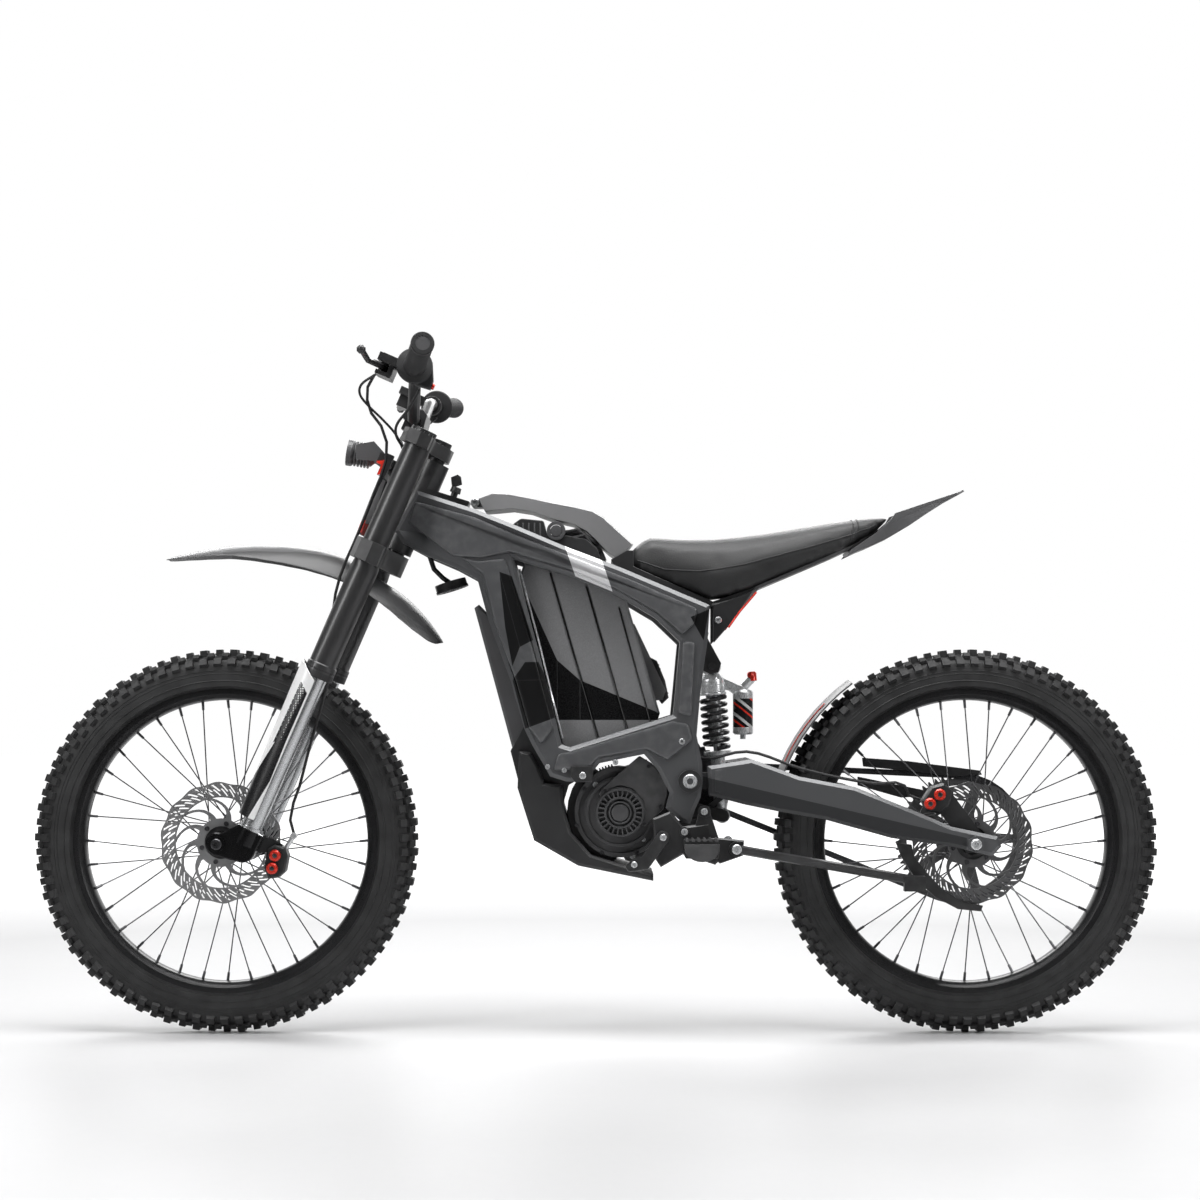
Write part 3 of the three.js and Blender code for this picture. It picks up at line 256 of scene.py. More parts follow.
# Swingarm: darker below a line just under its top edge, painted shade that leaves the
# top facet lighter.
arm_painted_shade = [([(160, 462), (640, 351), (640, 290), (160, 290)],
               (0.036, 0.037, 0.039))]
METAL_PAINT = dict(rough=0.36, metal=0.30, vary=0.03, scale=7, grain=1400,
                   depth=0.00003, coat_rough=0.2, edge_tone=(0.20, 0.20, 0.205))
mats = {
    "frame": finish("frame_paint", GREY, coat=0.25, prints_and_painted_shade=frame_decals,
                    **METAL_PAINT),
    "arm": finish("arm_paint", GREY, coat=0.2, prints_and_painted_shade=arm_painted_shade, **METAL_PAINT),
    "black": finish("black_metal", (0.032, 0.032, 0.033), 0.38, 0.3, 0.2, 20,
                    1300, 0.00005, 0.1, edge_tone=(0.09, 0.09, 0.09)),
    "tube": finish("black_tube", (0.045, 0.045, 0.046), 0.40, 0.4, 0.1, 12,
                   1800, 0.00002, 0.2),
    "rim": finish("rim_black", (0.016, 0.016, 0.017), 0.30, 0.4, 0.15, 12,
                  1500, 0.00003, 0.15),
    "silver": finish("bright_alloy", (0.72, 0.73, 0.74), 0.28, 0.6, 0.06, 20,
                     1800, 0.00002, stretch=(1, 1, 0.1)),
    "leg": finish("fork_leg", (0.55, 0.56, 0.57), 0.24, 0.8, 0.05, 20, 1600,
                  0.00002, prints_and_painted_shade=fork_decals),
    "cast": finish("cast_black", (0.075, 0.075, 0.077), 0.42, 0.3, 0.15, 30, 900,
                   0.00008, edge_tone=(0.12, 0.12, 0.12)),
    "plate": finish("plate_black", (0.03, 0.03, 0.031), 0.35, 0.0, 0.1, 20, 1200,
                    0.00003, 0.2, prints_and_painted_shade=[
                        ([(-410, 985), (-376, 985), (-406, 905), (-440, 905)],
                         (0.45, 0.45, 0.46)),
                        ([(-402, 1010), (-370, 1010), (-376, 984), (-408, 984)], RED),
                        ([(-425, 905), (-402, 905), (-412, 884), (-436, 884)], RED)]),
    "steel": finish("disc_steel", (0.32, 0.32, 0.325), 0.36, 0.8, 0.12, 30,
                    1600, 0.00003, stretch=(1, 0.2, 1)),
    "dark_steel": finish("dark_steel", (0.17, 0.17, 0.173), 0.36, 0.9, 0.12, 30,
                         1600, 0.00003, stretch=(1, 0.2, 1)),
    "cover": finish("cover_plastic", (0.17, 0.17, 0.173), 0.38, 0.0, 0.05,
                    12, 1100, 0.00004, 0.1),
    # Front fender: a darker band on the sides, below the crease, is painted shade for
    # the sides turned away from the light above.
    "fender": finish("fender_plastic", (0.07, 0.07, 0.072), 0.42, 0.0, 0.05,
                     12, 1100, 0.00003, 0.05, prints_and_painted_shade=[
                         ([(-655, 848), (-615, 851), (-518, 850), (-432, 837),
                           (-445, 781), (-650, 816)], (0.030, 0.030, 0.031))]),
    "blade": finish("tail_plastic", (0.085, 0.085, 0.088), 0.42, 0.0, 0.08,
                    12, 1100, 0.00006, 0.05, prints_and_painted_shade=[
                        ([(190, 770), (283, 792), (228, 712), (200, 680)],
                         (0.02, 0.02, 0.021))]),
    "bolt": finish("dark_bolt", (0.10, 0.10, 0.105), 0.30, 0.9, 0.15, 60, 1800,
                   0.00003),
    "plastic": finish("grey_plastic", (0.085, 0.085, 0.088), 0.42, 0.0, 0.08,
                      12, 1100, 0.00006, 0.05),
    "dark": finish("dark_plastic", (0.022, 0.022, 0.023), 0.45, 0.0, 0.12, 14,
                   1000, 0.00008),
    "rubber": finish("rubber", (0.017, 0.017, 0.018), 0.62, 0.0, 0.2, 30, 900,
                     0.00012),
    "tyre": finish("tyre_rubber", (0.016, 0.016, 0.0165), 0.58, 0.0, 0.3, 26,
                   800, 0.00016),
    "red": finish("red_anodised", RED, 0.28, 0.35, 0.1, 40, 1500, 0.00003, 0.3),
    "gloss": finish("gloss_black", GLOSS, 0.10, 0.0, 0.2, 10,
                    1500, 0.00001, 0.6, 0.05),
}

# Battery: grey ribs above, a gloss black sweep below.
mats["battery"] = finish("battery_shell", (0.21, 0.211, 0.215), 0.26, 0.10, 0.05, 8,
                 1300, 0.00002, 0.4, 0.12, prints_and_painted_shade=[
                     ([(-122, 778), (-68, 659), (-68, 554), (-130, 554)], GLOSS),
                     ([(-68, 659), (-28, 624), (-28, 554), (-68, 554)], GLOSS),
                     ([(-28, 624), (112, 566), (112, 554), (-28, 554)], GLOSS)])

# Seat cover: pebbled leather-cloth; the top panel, where the faces point up, is a
# little lighter, a painted highlight.
seat = Nodes("seat_cover")
pebble = seat.new("ShaderNodeTexVoronoi", feature="SMOOTH_F1")
pebble.inputs["Scale"].default_value = 620
seat.link(seat.place, pebble.inputs["Vector"])
shade = seat.mix(seat.spread(seat.noise(10), 0, 1), (0.014, 0.014, 0.0145),
                 (0.024, 0.024, 0.0245))
# Painted highlight: the colour turns lighter where the normal points up, standing in
# for the light from above.
painted_highlight_normal = seat.new("ShaderNodeNewGeometry")
painted_highlight_up = seat.new("ShaderNodeSeparateXYZ")
seat.link(painted_highlight_normal.outputs["Normal"], painted_highlight_up.inputs[0])
shade = seat.mix(seat.spread(painted_highlight_up.outputs[2], 0, 1, 0.55, 0.75), shade,
                 (0.034, 0.034, 0.035))
seat.feed("Base Color", shade)
seat.feed("Roughness", seat.spread(pebble.outputs["Distance"], 0.66, 0.48,
                                   0.1, 0.7))
seat.feed("Normal", seat.bump(pebble.outputs["Distance"], 0.00035, 0.45))
mats["seat"] = seat

# Fork guard: white upper part that breaks into dots, black lower part.
guard = Nodes("guard_plastic")
dots = guard.new("ShaderNodeTexVoronoi", feature="F1")
dots.inputs["Scale"].default_value = 240
dots.inputs["Randomness"].default_value = 0.0
guard.link(guard.place, dots.inputs["Vector"])
size = guard.spread(guard.axis(2), 0.16, 0.40, 0.520, 0.622)
dot = guard.math("GREATER_THAN", dots.outputs["Distance"], size)
band = guard.edge([(-508, 622), (-497, 600), (-534, 516), (-557, 516)])
skin = guard.mix(guard.math("MULTIPLY", dot, band), WHITE, BLACK)
low = guard.edge([(-557, 518), (-533, 518), (-561, 449), (-600, 385), (-640, 385),
                  (-598, 449)])
guard.feed("Base Color", guard.mix(low, skin, (0.012, 0.012, 0.013)))
guard.feed("Roughness", guard.spread(guard.noise(900), 0.24, 0.34))
guard.feed("Normal", guard.bump(guard.noise(900), 0.00003))
guard.feed("Coat Weight", 0.3)
mats["guard"] = guard

# Shock reservoir sleeve: black with slanting bands.
sleeve = Nodes("reservoir_sleeve")
slant = sleeve.new("ShaderNodeVectorMath", operation="DOT_PRODUCT")
slant.inputs[1].default_value = (0.62, 0, 0.78)
sleeve.link(sleeve.place, slant.inputs[0])
wave = sleeve.math("FRACT", sleeve.math("MULTIPLY", slant.outputs["Value"], 42))
tone = sleeve.mix(sleeve.math("GREATER_THAN", wave, 0.80), BLACK, (0.6, 0.6, 0.6))
tone = sleeve.mix(sleeve.math("MULTIPLY", sleeve.math("GREATER_THAN", wave, 0.45),
                              sleeve.math("LESS_THAN", wave, 0.58)), tone, RED)
sleeve.feed("Base Color", tone)
sleeve.feed("Roughness", sleeve.spread(sleeve.noise(900), 0.18, 0.28))
mats["sleeve"] = sleeve

mats["lens"] = finish("lamp_lens", (0.55, 0.57, 0.60), 0.08, 0.0, 0.05, 20, 300,
                      0.0003, 0.8, 0.03)


# ------------------------------------------------------------ mesh helpers

class Shape:
    """Vertices and faces that grow piece by piece."""

    def __init__(self):
        self.verts = []
        self.faces = []

    def add(self, verts, faces):
        first = len(self.verts)
        self.verts += [tuple(v) for v in verts]
        self.faces += [[first + i for i in f] for f in faces]
        return self

    def lathe(self, profile, centre, axis=(0, 1, 0), steps=48, closed=True,
              span=math.tau):
        """Turn (radius, height) points in metres about an axis."""
        w = Vector(axis).normalized()
        u = w.orthogonal().normalized()
        v = w.cross(u)
        centre = Vector(centre)
        whole = span >= math.tau - 1e-6
        rows = steps if whole else steps + 1
        verts = []
        for i in range(rows):
            a = span * i / steps
            out = u * math.cos(a) + v * math.sin(a)
            verts += [centre + out * r + w * h for r, h in profile]
        n = len(profile)
        faces = []
        for i in range(steps):
            for k in range(n if closed else n - 1):
                a, b = i * n + k, i * n + (k + 1) % n
                j = (i + 1) % rows
                faces.append([a, b, j * n + (k + 1) % n, j * n + k])
        if not closed:
            for k, flip in ((0, False), (n - 1, True)):
                ring = [i * n + k for i in range(rows)]
                faces.append(ring[::-1] if flip else ring)
        return self.add(verts, faces)

    def rod(self, a, b, r0, r1=None, sides=16):
        a, b = Vector(a), Vector(b)
        r1 = r0 if r1 is None else r1
        profile = [(r0, 0), (r1, (b - a).length)]
        return self.lathe(profile, a, b - a, sides, closed=False)

    def sweep(self, points, radius, sides=10, closed=False):
        """A tube along points in metres; radius may be a list."""
        points = [Vector(p) for p in points]
        count = len(points)
        radii = radius if isinstance(radius, list) else [radius] * count
        verts = []
        side = None
        for i, p in enumerate(points):
            before = points[i - 1] if closed or i else p
            after = points[(i + 1) % count] if closed or i < count - 1 else p
            ahead = (after - before).normalized()
            side = ahead.orthogonal() if side is None else side
            side = (side - ahead * side.dot(ahead)).normalized()
            other = ahead.cross(side)
            for k in range(sides):
                a = math.tau * k / sides
                verts.append(p + (side * math.cos(a) + other * math.sin(a)) * radii[i])
        faces = []
        for i in range(count if closed else count - 1):
            j = (i + 1) % count
            for k in range(sides):
                m = (k + 1) % sides
                faces.append([i * sides + k, i * sides + m, j * sides + m,
                              j * sides + k])
        if not closed:
            faces.append(list(range(sides))[::-1])
            faces.append([(count - 1) * sides + k for k in range(sides)])
        return self.add(verts, faces)

    def slab(self, outline, y0, y1, place=None):
        """An outline of (x, z) in mm, given thickness from y0 to y1."""
        place = place or (lambda x, y, z: mm(x, y, z))
        n = len(outline)
        verts = [place(x, y0, z) for x, z in outline]
        verts += [place(x, y1, z) for x, z in outline]
        faces = [list(range(n)), list(range(n, 2 * n))[::-1]]
        faces += [[(i + 1) % n, i, n + i, n + (i + 1) % n] for i in range(n)]
        return self.add(verts, faces)

    def block(self, centre, u, v, w, taper=1.0):
        """A box with half-edge vectors; the +w face is scaled by taper."""
        c, u, v, w = (Vector(q) for q in (centre, u, v, w))
        verts = []
        for s, k in ((-1, 1.0), (1, taper)):
            for a, b in ((-1, -1), (1, -1), (1, 1), (-1, 1)):
                verts.append(c + u * a * k + v * b * k + w * s)
        faces = [[3, 2, 1, 0], [4, 5, 6, 7], [0, 1, 5, 4], [1, 2, 6, 5],
                 [2, 3, 7, 6], [3, 0, 4, 7]]
        return self.add(verts, faces)

    def pair(self, outline, near, far, place=None):
        """The same slab on both sides, from near to far off the middle."""
        for side in SIDES:
            self.slab(outline, *sorted((side * near, side * far)), place)
        return self


def smooth_group():
    """A modifier tree: faces smooth, sharp edges kept."""
    tree = bpy.data.node_groups.new("smooth_faces", "GeometryNodeTree")
    tree.interface.new_socket("Geometry", in_out="INPUT",
                              socket_type="NodeSocketGeometry")
    tree.interface.new_socket("Geometry", in_out="OUTPUT",
                              socket_type="NodeSocketGeometry")
    start = tree.nodes.new("NodeGroupInput")
    end = tree.nodes.new("NodeGroupOutput")
    merge = tree.nodes.new("GeometryNodeMergeByDistance")
    merge.inputs["Distance"].default_value = JOIN
    angle = tree.nodes.new("GeometryNodeInputMeshEdgeAngle")
    limit = tree.nodes.new("FunctionNodeCompare")
    limit.operation = "LESS_THAN"
    limit.inputs[1].default_value = SHARP
    faces = tree.nodes.new("GeometryNodeSetShadeSmooth")
    edges = tree.nodes.new("GeometryNodeSetShadeSmooth")
    edges.domain = "EDGE"
    link = tree.links.new
    link(start.outputs[0], merge.inputs[0])
    link(merge.outputs[0], faces.inputs["Geometry"])
    link(faces.outputs[0], edges.inputs["Geometry"])
    link(angle.outputs["Unsigned Angle"], limit.inputs[0])
    link(limit.outputs[0], edges.inputs["Shade Smooth"])
    link(edges.outputs[0], end.inputs[0])
    return tree


SMOOTH = smooth_group()


def soften(obj, bevel):
    """Rounded edges and smooth faces, as modifiers."""
    if bevel:
        weld = obj.modifiers.new("weld", "WELD")
        weld.merge_threshold = JOIN
        mod = obj.modifiers.new("bevel", "BEVEL")
        mod.width = bevel
        mod.segments = 2
        mod.limit_method = "ANGLE"
        mod.angle_limit = ROUNDED
        mod.use_clamp_overlap = True
    obj.modifiers.new("smooth", "NODES").node_group = SMOOTH
    normals = obj.modifiers.new("normals", "WEIGHTED_NORMAL")
    normals.keep_sharp = True


def piece(name, shape, finish_name, body, bevel=0.0, stands_for=()):
    """Make a named piece that rides on a body and may replace CAD nodes."""
    mesh = bpy.data.meshes.new(name)
    mesh.from_pydata(shape.verts, [], shape.faces)
    mesh.validate()
    bm = bmesh.new()
    bm.from_mesh(mesh)
    bmesh.ops.recalc_face_normals(bm, faces=bm.faces)
    bm.to_mesh(mesh)
    bm.free()
    obj = bpy.data.objects.new(name, mesh)
    bpy.context.scene.collection.objects.link(obj)
    mesh.materials.append(mats[finish_name].mat)
    soften(obj, bevel)
    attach(obj, body)
    if stands_for:
        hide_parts(*stands_for)
    return obj


def paint(names, finish_name, bevel=0.0008, divide=0):
    """Give CAD nodes their finish and softened edges."""
    for name in names.split():
        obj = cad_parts[name]
        obj.data.materials.clear()
        obj.data.materials.append(mats[finish_name].mat)
        if divide:
            obj.modifiers.new("weld", "WELD").merge_threshold = 0.00005
            finer = obj.modifiers.new("finer", "SUBSURF")
            finer.levels = finer.render_levels = divide
        soften(obj, bevel)


paint("frame_left frame_right", "frame", 0.0025)
paint("swingarm", "arm", 0.002)
paint("peg_carrier footpeg_left footpeg_right kickstand key_switch shock_rocker"
      " shock_link horn front_caliper rear_caliper", "black")
paint("motor", "cast", 0.0012)
paint("head_tube shock_mount upper_clamp", "black", 0.0012)
paint("steering_stem handlebar lever_perch_left lever_perch_right"
      " brake_lever_left brake_lever_right", "black", 0.0006)
paint("fork_tube_left fork_tube_right", "tube", 0.0008)
paint("fork_leg_left fork_leg_right", "leg", 0.0006)
paint("shock_rod", "silver", 0.0006)
paint("downtube_cover rear_hugger", "plastic", 0.0008)
paint("top_cover", "cover", 0.0008)
paint("front_fender", "fender", 0.0, 2)
paint("rear_fender", "blade", 0.0)
paint("skid_plate controller switch_pod headlight", "dark")
paint("number_plate", "plate", 0.0008)
paint("fork_guard_left fork_guard_right", "guard", 0.001)
paint("battery_case", "battery", 0.0012)


def bending_hose(node, name):
    """A brake hose: a rubber copy of the CAD hose, baked in place and attached to no
    body, which stands in for the CAD node.
    """
    obj = bpy.data.objects.new(name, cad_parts[node].data.copy())
    bpy.context.scene.collection.objects.link(obj)
    obj.data.materials.clear()
    obj.data.materials.append(mats["rubber"].mat)
    soften(obj, 0.0)
    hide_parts(node)
    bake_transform(obj)


bending_hose("front_brake_hose", "front_hose")
bending_hose("rear_brake_hose", "rear_hose")
paint("chain jackshaft", "bolt", 0.0002)
paint("switch_button", "red", 0.0005)

# ------------------------------------------------------------ wheels

def tyre_y(a):
    """How far the tyre's wall is from the middle, at an angle of its section."""
    return math.cos(a) * TYRE_HALF * (1 - 0.12 * math.cos(a) ** 4)


def wheel(prefix, x, disc_y, disc_finish):
    centre = Vector((x, 0, AXLE_Z))
    body = prefix + "_wheel"

    def turn(r, y, a):
        return centre + Vector((math.cos(a) * r, y, math.sin(a) * r))

    tyre = Shape()
    section = []
    for k in range(25):
        a = math.pi * k / 24
        r = BEAD_R + TYRE_TALL * math.sin(a) ** TYRE_POWER
        section.append((r, -tyre_y(a)))
    section += [(0.268, 0.020), (0.2665, 0.0), (0.268, -0.020)]
    tyre.lathe(section, centre, steps=160)
    for side in SIDES:
        for r, w in ((0.2835, 0.0011), (0.296, 0.0008), (0.3015, 0.0008)):
            a = math.asin(min(1, (r - BEAD_R) / TYRE_TALL) ** (1 / TYRE_POWER))
            line = [turn(r, side * tyre_y(a), math.tau * i / 120)
                    for i in range(120)]
            tyre.sweep(line, w, 6, closed=True)
    step = math.tau / KNOBS
    for i in range(KNOBS):
        a = step * i - math.pi / 2
        out, along = spoke(a)
        two = [(-0.0095, 0.0063, 0.0072), (0.0095, 0.0063, 0.0072)]
        for y, wide, long in two if i % 2 else [(0.0, 0.0085, 0.0066)]:
            base = centre + out * (TYRE_R - 0.003)
            base.y = y
            tyre.block(base + out * 0.0045, along * long, Vector((0, wide, 0)),
                       out * 0.0065, 0.86)
        for side in SIDES:
            for shift, angle, wide, long in ((0.5, 0.62, 0.0062, 0.0066),
                                             (0.0, 1.02, 0.0070, 0.0078)):
                flat, along = spoke(a + step * shift)
                out = flat * math.cos(angle) + Vector((0, side * math.sin(angle), 0))
                over = flat * -math.sin(angle) + Vector((0, side * math.cos(angle), 0))
                r = BEAD_R + TYRE_TALL * math.cos(angle * 0.86) ** TYRE_POWER
                y = side * math.sin(angle * 0.86) * TYRE_HALF * 0.985
                base = centre + flat * r
                base.y = y
                tyre.block(base + out * 0.0015, along * long, over * wide,
                           out * 0.0048, 0.84)
    piece(prefix + "_tyre_tread", tyre, "tyre", body, 0.0,
          [prefix + "_tyre"])

    rim = Shape()
    rim.lathe([(RIM_OUT, -0.0225), (RIM_OUT + 0.0015, -0.0205), (0.270, -0.0195),
               (0.2625, -0.0185), (0.2570, -0.0130), (0.2555, 0.0),
               (0.2570, 0.0130), (0.2625, 0.0185), (0.270, 0.0195),
               (RIM_OUT + 0.0015, 0.0205), (RIM_OUT, 0.0225), (0.2725, 0.0232),
               (0.2600, 0.0222), (0.2535, 0.0165), (RIM_IN + 0.0008, 0.0100),
               (RIM_IN, 0.0), (RIM_IN + 0.0008, -0.0100), (0.2535, -0.0165),
               (0.2600, -0.0222), (0.2725, -0.0232)], centre, steps=144)
    piece(prefix + "_rim_hoop", rim, "rim", body, 0.0,
          [prefix + "_rim"])

    hub = Shape()
    hub.lathe([(0.0125, -0.060), (0.020, -0.060), (0.0215, -0.052), (0.0195, -0.044),
               (0.0190, -0.038), (0.0300, -0.0345), (0.0305, -0.0300),
               (0.0215, -0.0270), (0.0180, 0.0), (0.0215, 0.0270),
               (0.0305, 0.0300), (0.0300, 0.0345), (0.0190, 0.038), (0.0195, 0.044),
               (0.0215, 0.052), (0.020, 0.060), (0.0125, 0.060)], centre, steps=40)
    spokes = Shape()
    for i in range(SPOKES):
        side = 1 if i % 2 else -1
        lean = 1 if (i // 2) % 2 else -1
        b = math.tau * i / SPOKES
        a = b + lean * math.radians(62)
        start = turn(0.0270, side * (0.032 + 0.0012 * lean), a)
        end = turn(RIM_IN + 0.001, side * 0.003, b)
        spokes.rod(start, end, 0.00115, sides=8)
        spokes.rod(end + (start - end).normalized() * 0.015, end, 0.0023, 0.0026, 8)
        spokes.rod(start - Vector((0, side * 0.004, 0)),
                   start + Vector((0, side * 0.003, 0)), 0.0019, sides=8)
    piece(prefix + "_hub_shell", hub, "black", body, 0.0,
          [prefix + "_hub"])
    piece(prefix + "_spokes", spokes, "bolt", body)

    disc = Shape()
    y0, y1 = disc_y
    columns = 168
    rings = [0.0795, 0.0825, 0.0865, 0.0905, 0.0945, 0.0985, 0.1025, 0.1055]
    top = []
    for i in range(columns):
        a = math.tau * i / columns
        wave = 0.0016 * math.cos(14 * a)
        for k, r in enumerate(rings):
            rr = r + wave * (k / (len(rings) - 1)) ** 2 - 0.0005
            top.append(turn(rr, 0, a + (r - 0.080) * 11.0))
    count = len(rings)
    cells = set()
    for i in range(columns):
        for k in range(count - 1):
            slot = (1, 2, 3) if i % 4 == 1 else (3, 4, 5)
            if not (i % 2 and k in slot):
                cells.add((i, k))
    verts = [(v.x, y0, v.z) for v in top] + [(v.x, y1, v.z) for v in top]
    size = len(top)
    quads = []
    for i, k in sorted(cells):
        j = (i + 1) % columns
        a, b = i * count + k, j * count + k
        c, d = b + 1, a + 1
        quads += [[a, b, c, d], [size + d, size + c, size + b, size + a]]
        for (ni, nk), (p, q) in (((i, k - 1), (a, b)), ((j, k), (b, c)),
                                 ((i, k + 1), (c, d)),
                                 (((i - 1) % columns, k), (d, a))):
            if (ni, nk) not in cells:
                quads.append([q, p, size + p, size + q])
    disc.add(verts, quads)
    for i in range(10):
        a = math.tau * i / 10
        edge_a, edge_b = [], []
        for t in range(9):
            s = t / 8
            r = 0.0400 + 0.0405 * s
            wide = (0.0058 - 0.0022 * math.sin(math.pi * s)) / r
            bend = a + 0.62 * s * s
            edge_a.append(turn(r, 0, bend + wide))
            edge_b.append(turn(r, 0, bend - wide))
        loop = edge_a + edge_b[::-1]
        n = len(edge_a)
        verts = [(v.x, y0 + 0.0003, v.z) for v in loop]
        verts += [(v.x, y1 - 0.0003, v.z) for v in loop]
        faces = []
        m = 2 * n
        for t in range(n - 1):
            p, q, r1, s1 = t, t + 1, m - 2 - t, m - 1 - t
            faces += [[p, q, r1, s1], [m + s1, m + r1, m + q, m + p]]
        faces += [[(t + 1) % m, t, m + t, m + (t + 1) % m] for t in range(m)]
        disc.add(verts, faces)
    disc.lathe([(0.0285, y0), (0.0425, y0), (0.0425, y1), (0.0285, y1)],
               centre, steps=60)
    piece(prefix + "_disc_rotor", disc, disc_finish, body, 0.0,
          [prefix + "_disc"])
    bolts = Shape()
    for i in range(6):
        a = math.tau * i / 6 + 0.26
        p = turn(0.0345, 0, a)
        bolts.rod((p.x, y0 + 0.0002, p.z), (p.x, y0 - 0.0026, p.z),
                  0.0046, 0.0038, 12)
    carrier = Shape()
    flange = -0.0345
    carrier.lathe([(0.0205, flange), (0.0305, flange), (0.0330, y0 + 0.012),
                   (0.0400, y1 + 0.0002), (0.0205, y1 + 0.0002)],
                  centre, steps=48)
    piece(prefix + "_disc_bolts", bolts, "bolt", body)
    piece(prefix + "_disc_carrier", carrier, "black", body)


wheel("front", -AXLE_X, (-0.0720, -0.0686), "steel")
wheel("rear", AXLE_X, (-0.0860, -0.0826), "dark_steel")

# ------------------------------------------------------------ details

def bolt(shape, x, y, z, r=5.0, tall=3.0, axis=(0, -1, 0)):
    """A socket-head bolt, in mm, its head standing up along axis."""
    r, tall = r / 1000, tall / 1000
    shape.lathe([(r * 0.45, tall), (r * 0.86, tall), (r, tall * 0.7), (r, 0),
                 (r * 0.45, 0)], mm(x, y, z), axis, 18)
    shape.lathe([(TIP, tall * 0.35), (r * 0.5, tall * 0.35), (r * 0.5, 0),
                 (TIP, 0)], mm(x, y, z), axis, 6)


def bolt_pair(shape, x, y, z, r, tall):
    for side in SIDES:
        bolt(shape, x, side * y, z, r, tall, (0, side, 0))


def ring(shape, x, z, r0, r1, y0, y1, steps=40):
    """A flat ring about the width, in mm."""
    shape.lathe([(r0 / 1000, y0 / 1000), (r1 / 1000, y0 / 1000),
                 (r1 / 1000, y1 / 1000), (r0 / 1000, y1 / 1000)],
                mm(x, 0, z), (0, 1, 0), steps)


def frame_place(x, y, z):
    """The side frames run closer together towards the head."""
    side = 1 if y > 0 else -1
    pull = (-130 - x) * 44 / 210 if x < -130 else 0
    return mm(x, y - side * pull, z)


# Raised facets on the side frames.
facets = Shape()
for outline in (
        [(-330, 900), (-318, 938), (-213, 908), (-53, 842), (60, 798), (176, 748),
         (172, 722), (150, 702), (104, 742), (36, 780), (-38, 812), (-150, 846),
         (-200, 836), (-250, 840)],
        [(-236, 838), (-205, 832), (-158, 836), (-108, 672), (-74, 540), (-96, 512),
         (-116, 540), (-140, 624), (-178, 726), (-198, 808)],
        [(-66, 496), (-48, 498), (132, 552), (160, 548), (168, 520), (124, 484),
         (88, 503), (4, 488), (-12, 470), (-74, 466)],
        [(150, 690), (172, 690), (166, 560), (142, 566), (146, 626)]):
    facets.pair(outline, 90, 102, frame_place)
piece("frame_facets", facets, "frame", "chassis", 0.0065)

bolts = Shape()
for x, y, z, r, tall in (
        (-84, 99.5, 473, 4.5, 3.2), (-55, 99.5, 467, 4.5, 3.2),
        (149, 99.5, 517, 5.5, 3.2), (-1, 61, 441, 5.0, 3.2),
        (66, 100, 306, 5.5, 3.2), (83, 61, 345, 4.0, 3.2),
        (34, 99.5, 481, 5.0, 3.2), (214, 61.5, 729, 6.0, 3.2),
        (187, 119, 396, 6.0, 4.0), (153, 119, 361, 6.0, 4.0),
        (116, 119, 352, 6.5, 4.0), (242, 137, 332, 8.5, 4.0)):
    bolt_pair(bolts, x, y, z, r, tall)
piece("frame_bolts", bolts, "silver", "chassis")

pivots = Shape()
collars = Shape()
for side in SIDES:
    y0, y1 = sorted((side * 97, side * 105))
    ring(collars, 163, 448, 13.5, 20, y0, y1)
    for x, z, r in ((187, 396, 11), (116, 352, 11), (153, 361, 9)):
        y0, y1 = sorted((side * 117.5, side * 119.5))
        ring(collars, x, z, 0.2, r, y0, y1, 28)
    bolt(pivots, 163, side * 100, 448, 12.5, 6, (0, side, 0))
piece("pivot_collars", collars, "black", "chassis", 0.0008)
piece("pivot_bolts", pivots, "silver", "chassis")

lugs = Shape()
lugs.pair([(-44, 474), (-8, 475), (-4, 468), (-7, 447), (-36, 446), (-44, 456)],
          95, 107)
lugs.pair([(104, 356), (112, 364), (126, 358), (126, 346), (90, 297), (56, 292),
           (50, 302), (64, 316), (80, 320)], 119, 126)
lugs.pair([(180, 404), (194, 404), (214, 345), (206, 330), (162, 330),
           (152, 348), (172, 372)], 104, 117)
piece("frame_lugs", lugs, "black", "chassis", 0.002)
lug_bolts = Shape()
for x, y, z, r in ((-23, 107, 458, 6), (116, 126, 352, 6), (66, 126, 305, 5.5)):
    bolt_pair(lug_bolts, x, y, z, r, 2.5)
piece("lug_bolts", lug_bolts, "silver", "chassis")

# Motor face: stepped rings, finned ring, cap and the cover over the drive.
mx, mz = MOTOR
face = Shape()
for r0, r1, y0, y1, steps in ((72, 79.5, -64, -55, 96), (55, 60, -75, -66, 72),
                              (24, 28, -88, -76, 48), (38.5, 42, -88, -76, 64),
                              (0.2, 15, -90, -76, 40), (17.5, 20, -91, -76, 40)):
    ring(face, mx, mz, r0, r1, y0, y1, steps)
for i in range(26):
    out, along = spoke(math.tau * i / 26)
    face.block(Vector(mm(mx, -82, mz)) + out * 0.0332, along * 0.0013,
               Vector((0, 0.0055, 0)), out * 0.0062)
for i in range(44):
    out, along = spoke(math.radians(100 + 165 * i / 43))
    face.block(Vector(mm(mx, -42, mz)) + out * 0.0815, along * 0.0019,
               Vector((0, 0.006, 0)), out * 0.003, 0.7)
piece("motor_face", face, "cast", "chassis", 0.0005)
panel = Shape()
panel.slab([(12, 437), (76, 492), (97, 479), (124, 446), (125, 424), (118, 399),
            (86, 368), (76, 372), (86, 396), (80, 416), (64, 434), (42, 440),
            (24, 434), (10, 417), (4, 426)], -80, -70)
piece("motor_cover", panel, "cast", "chassis", 0.0028)
screws = Shape()
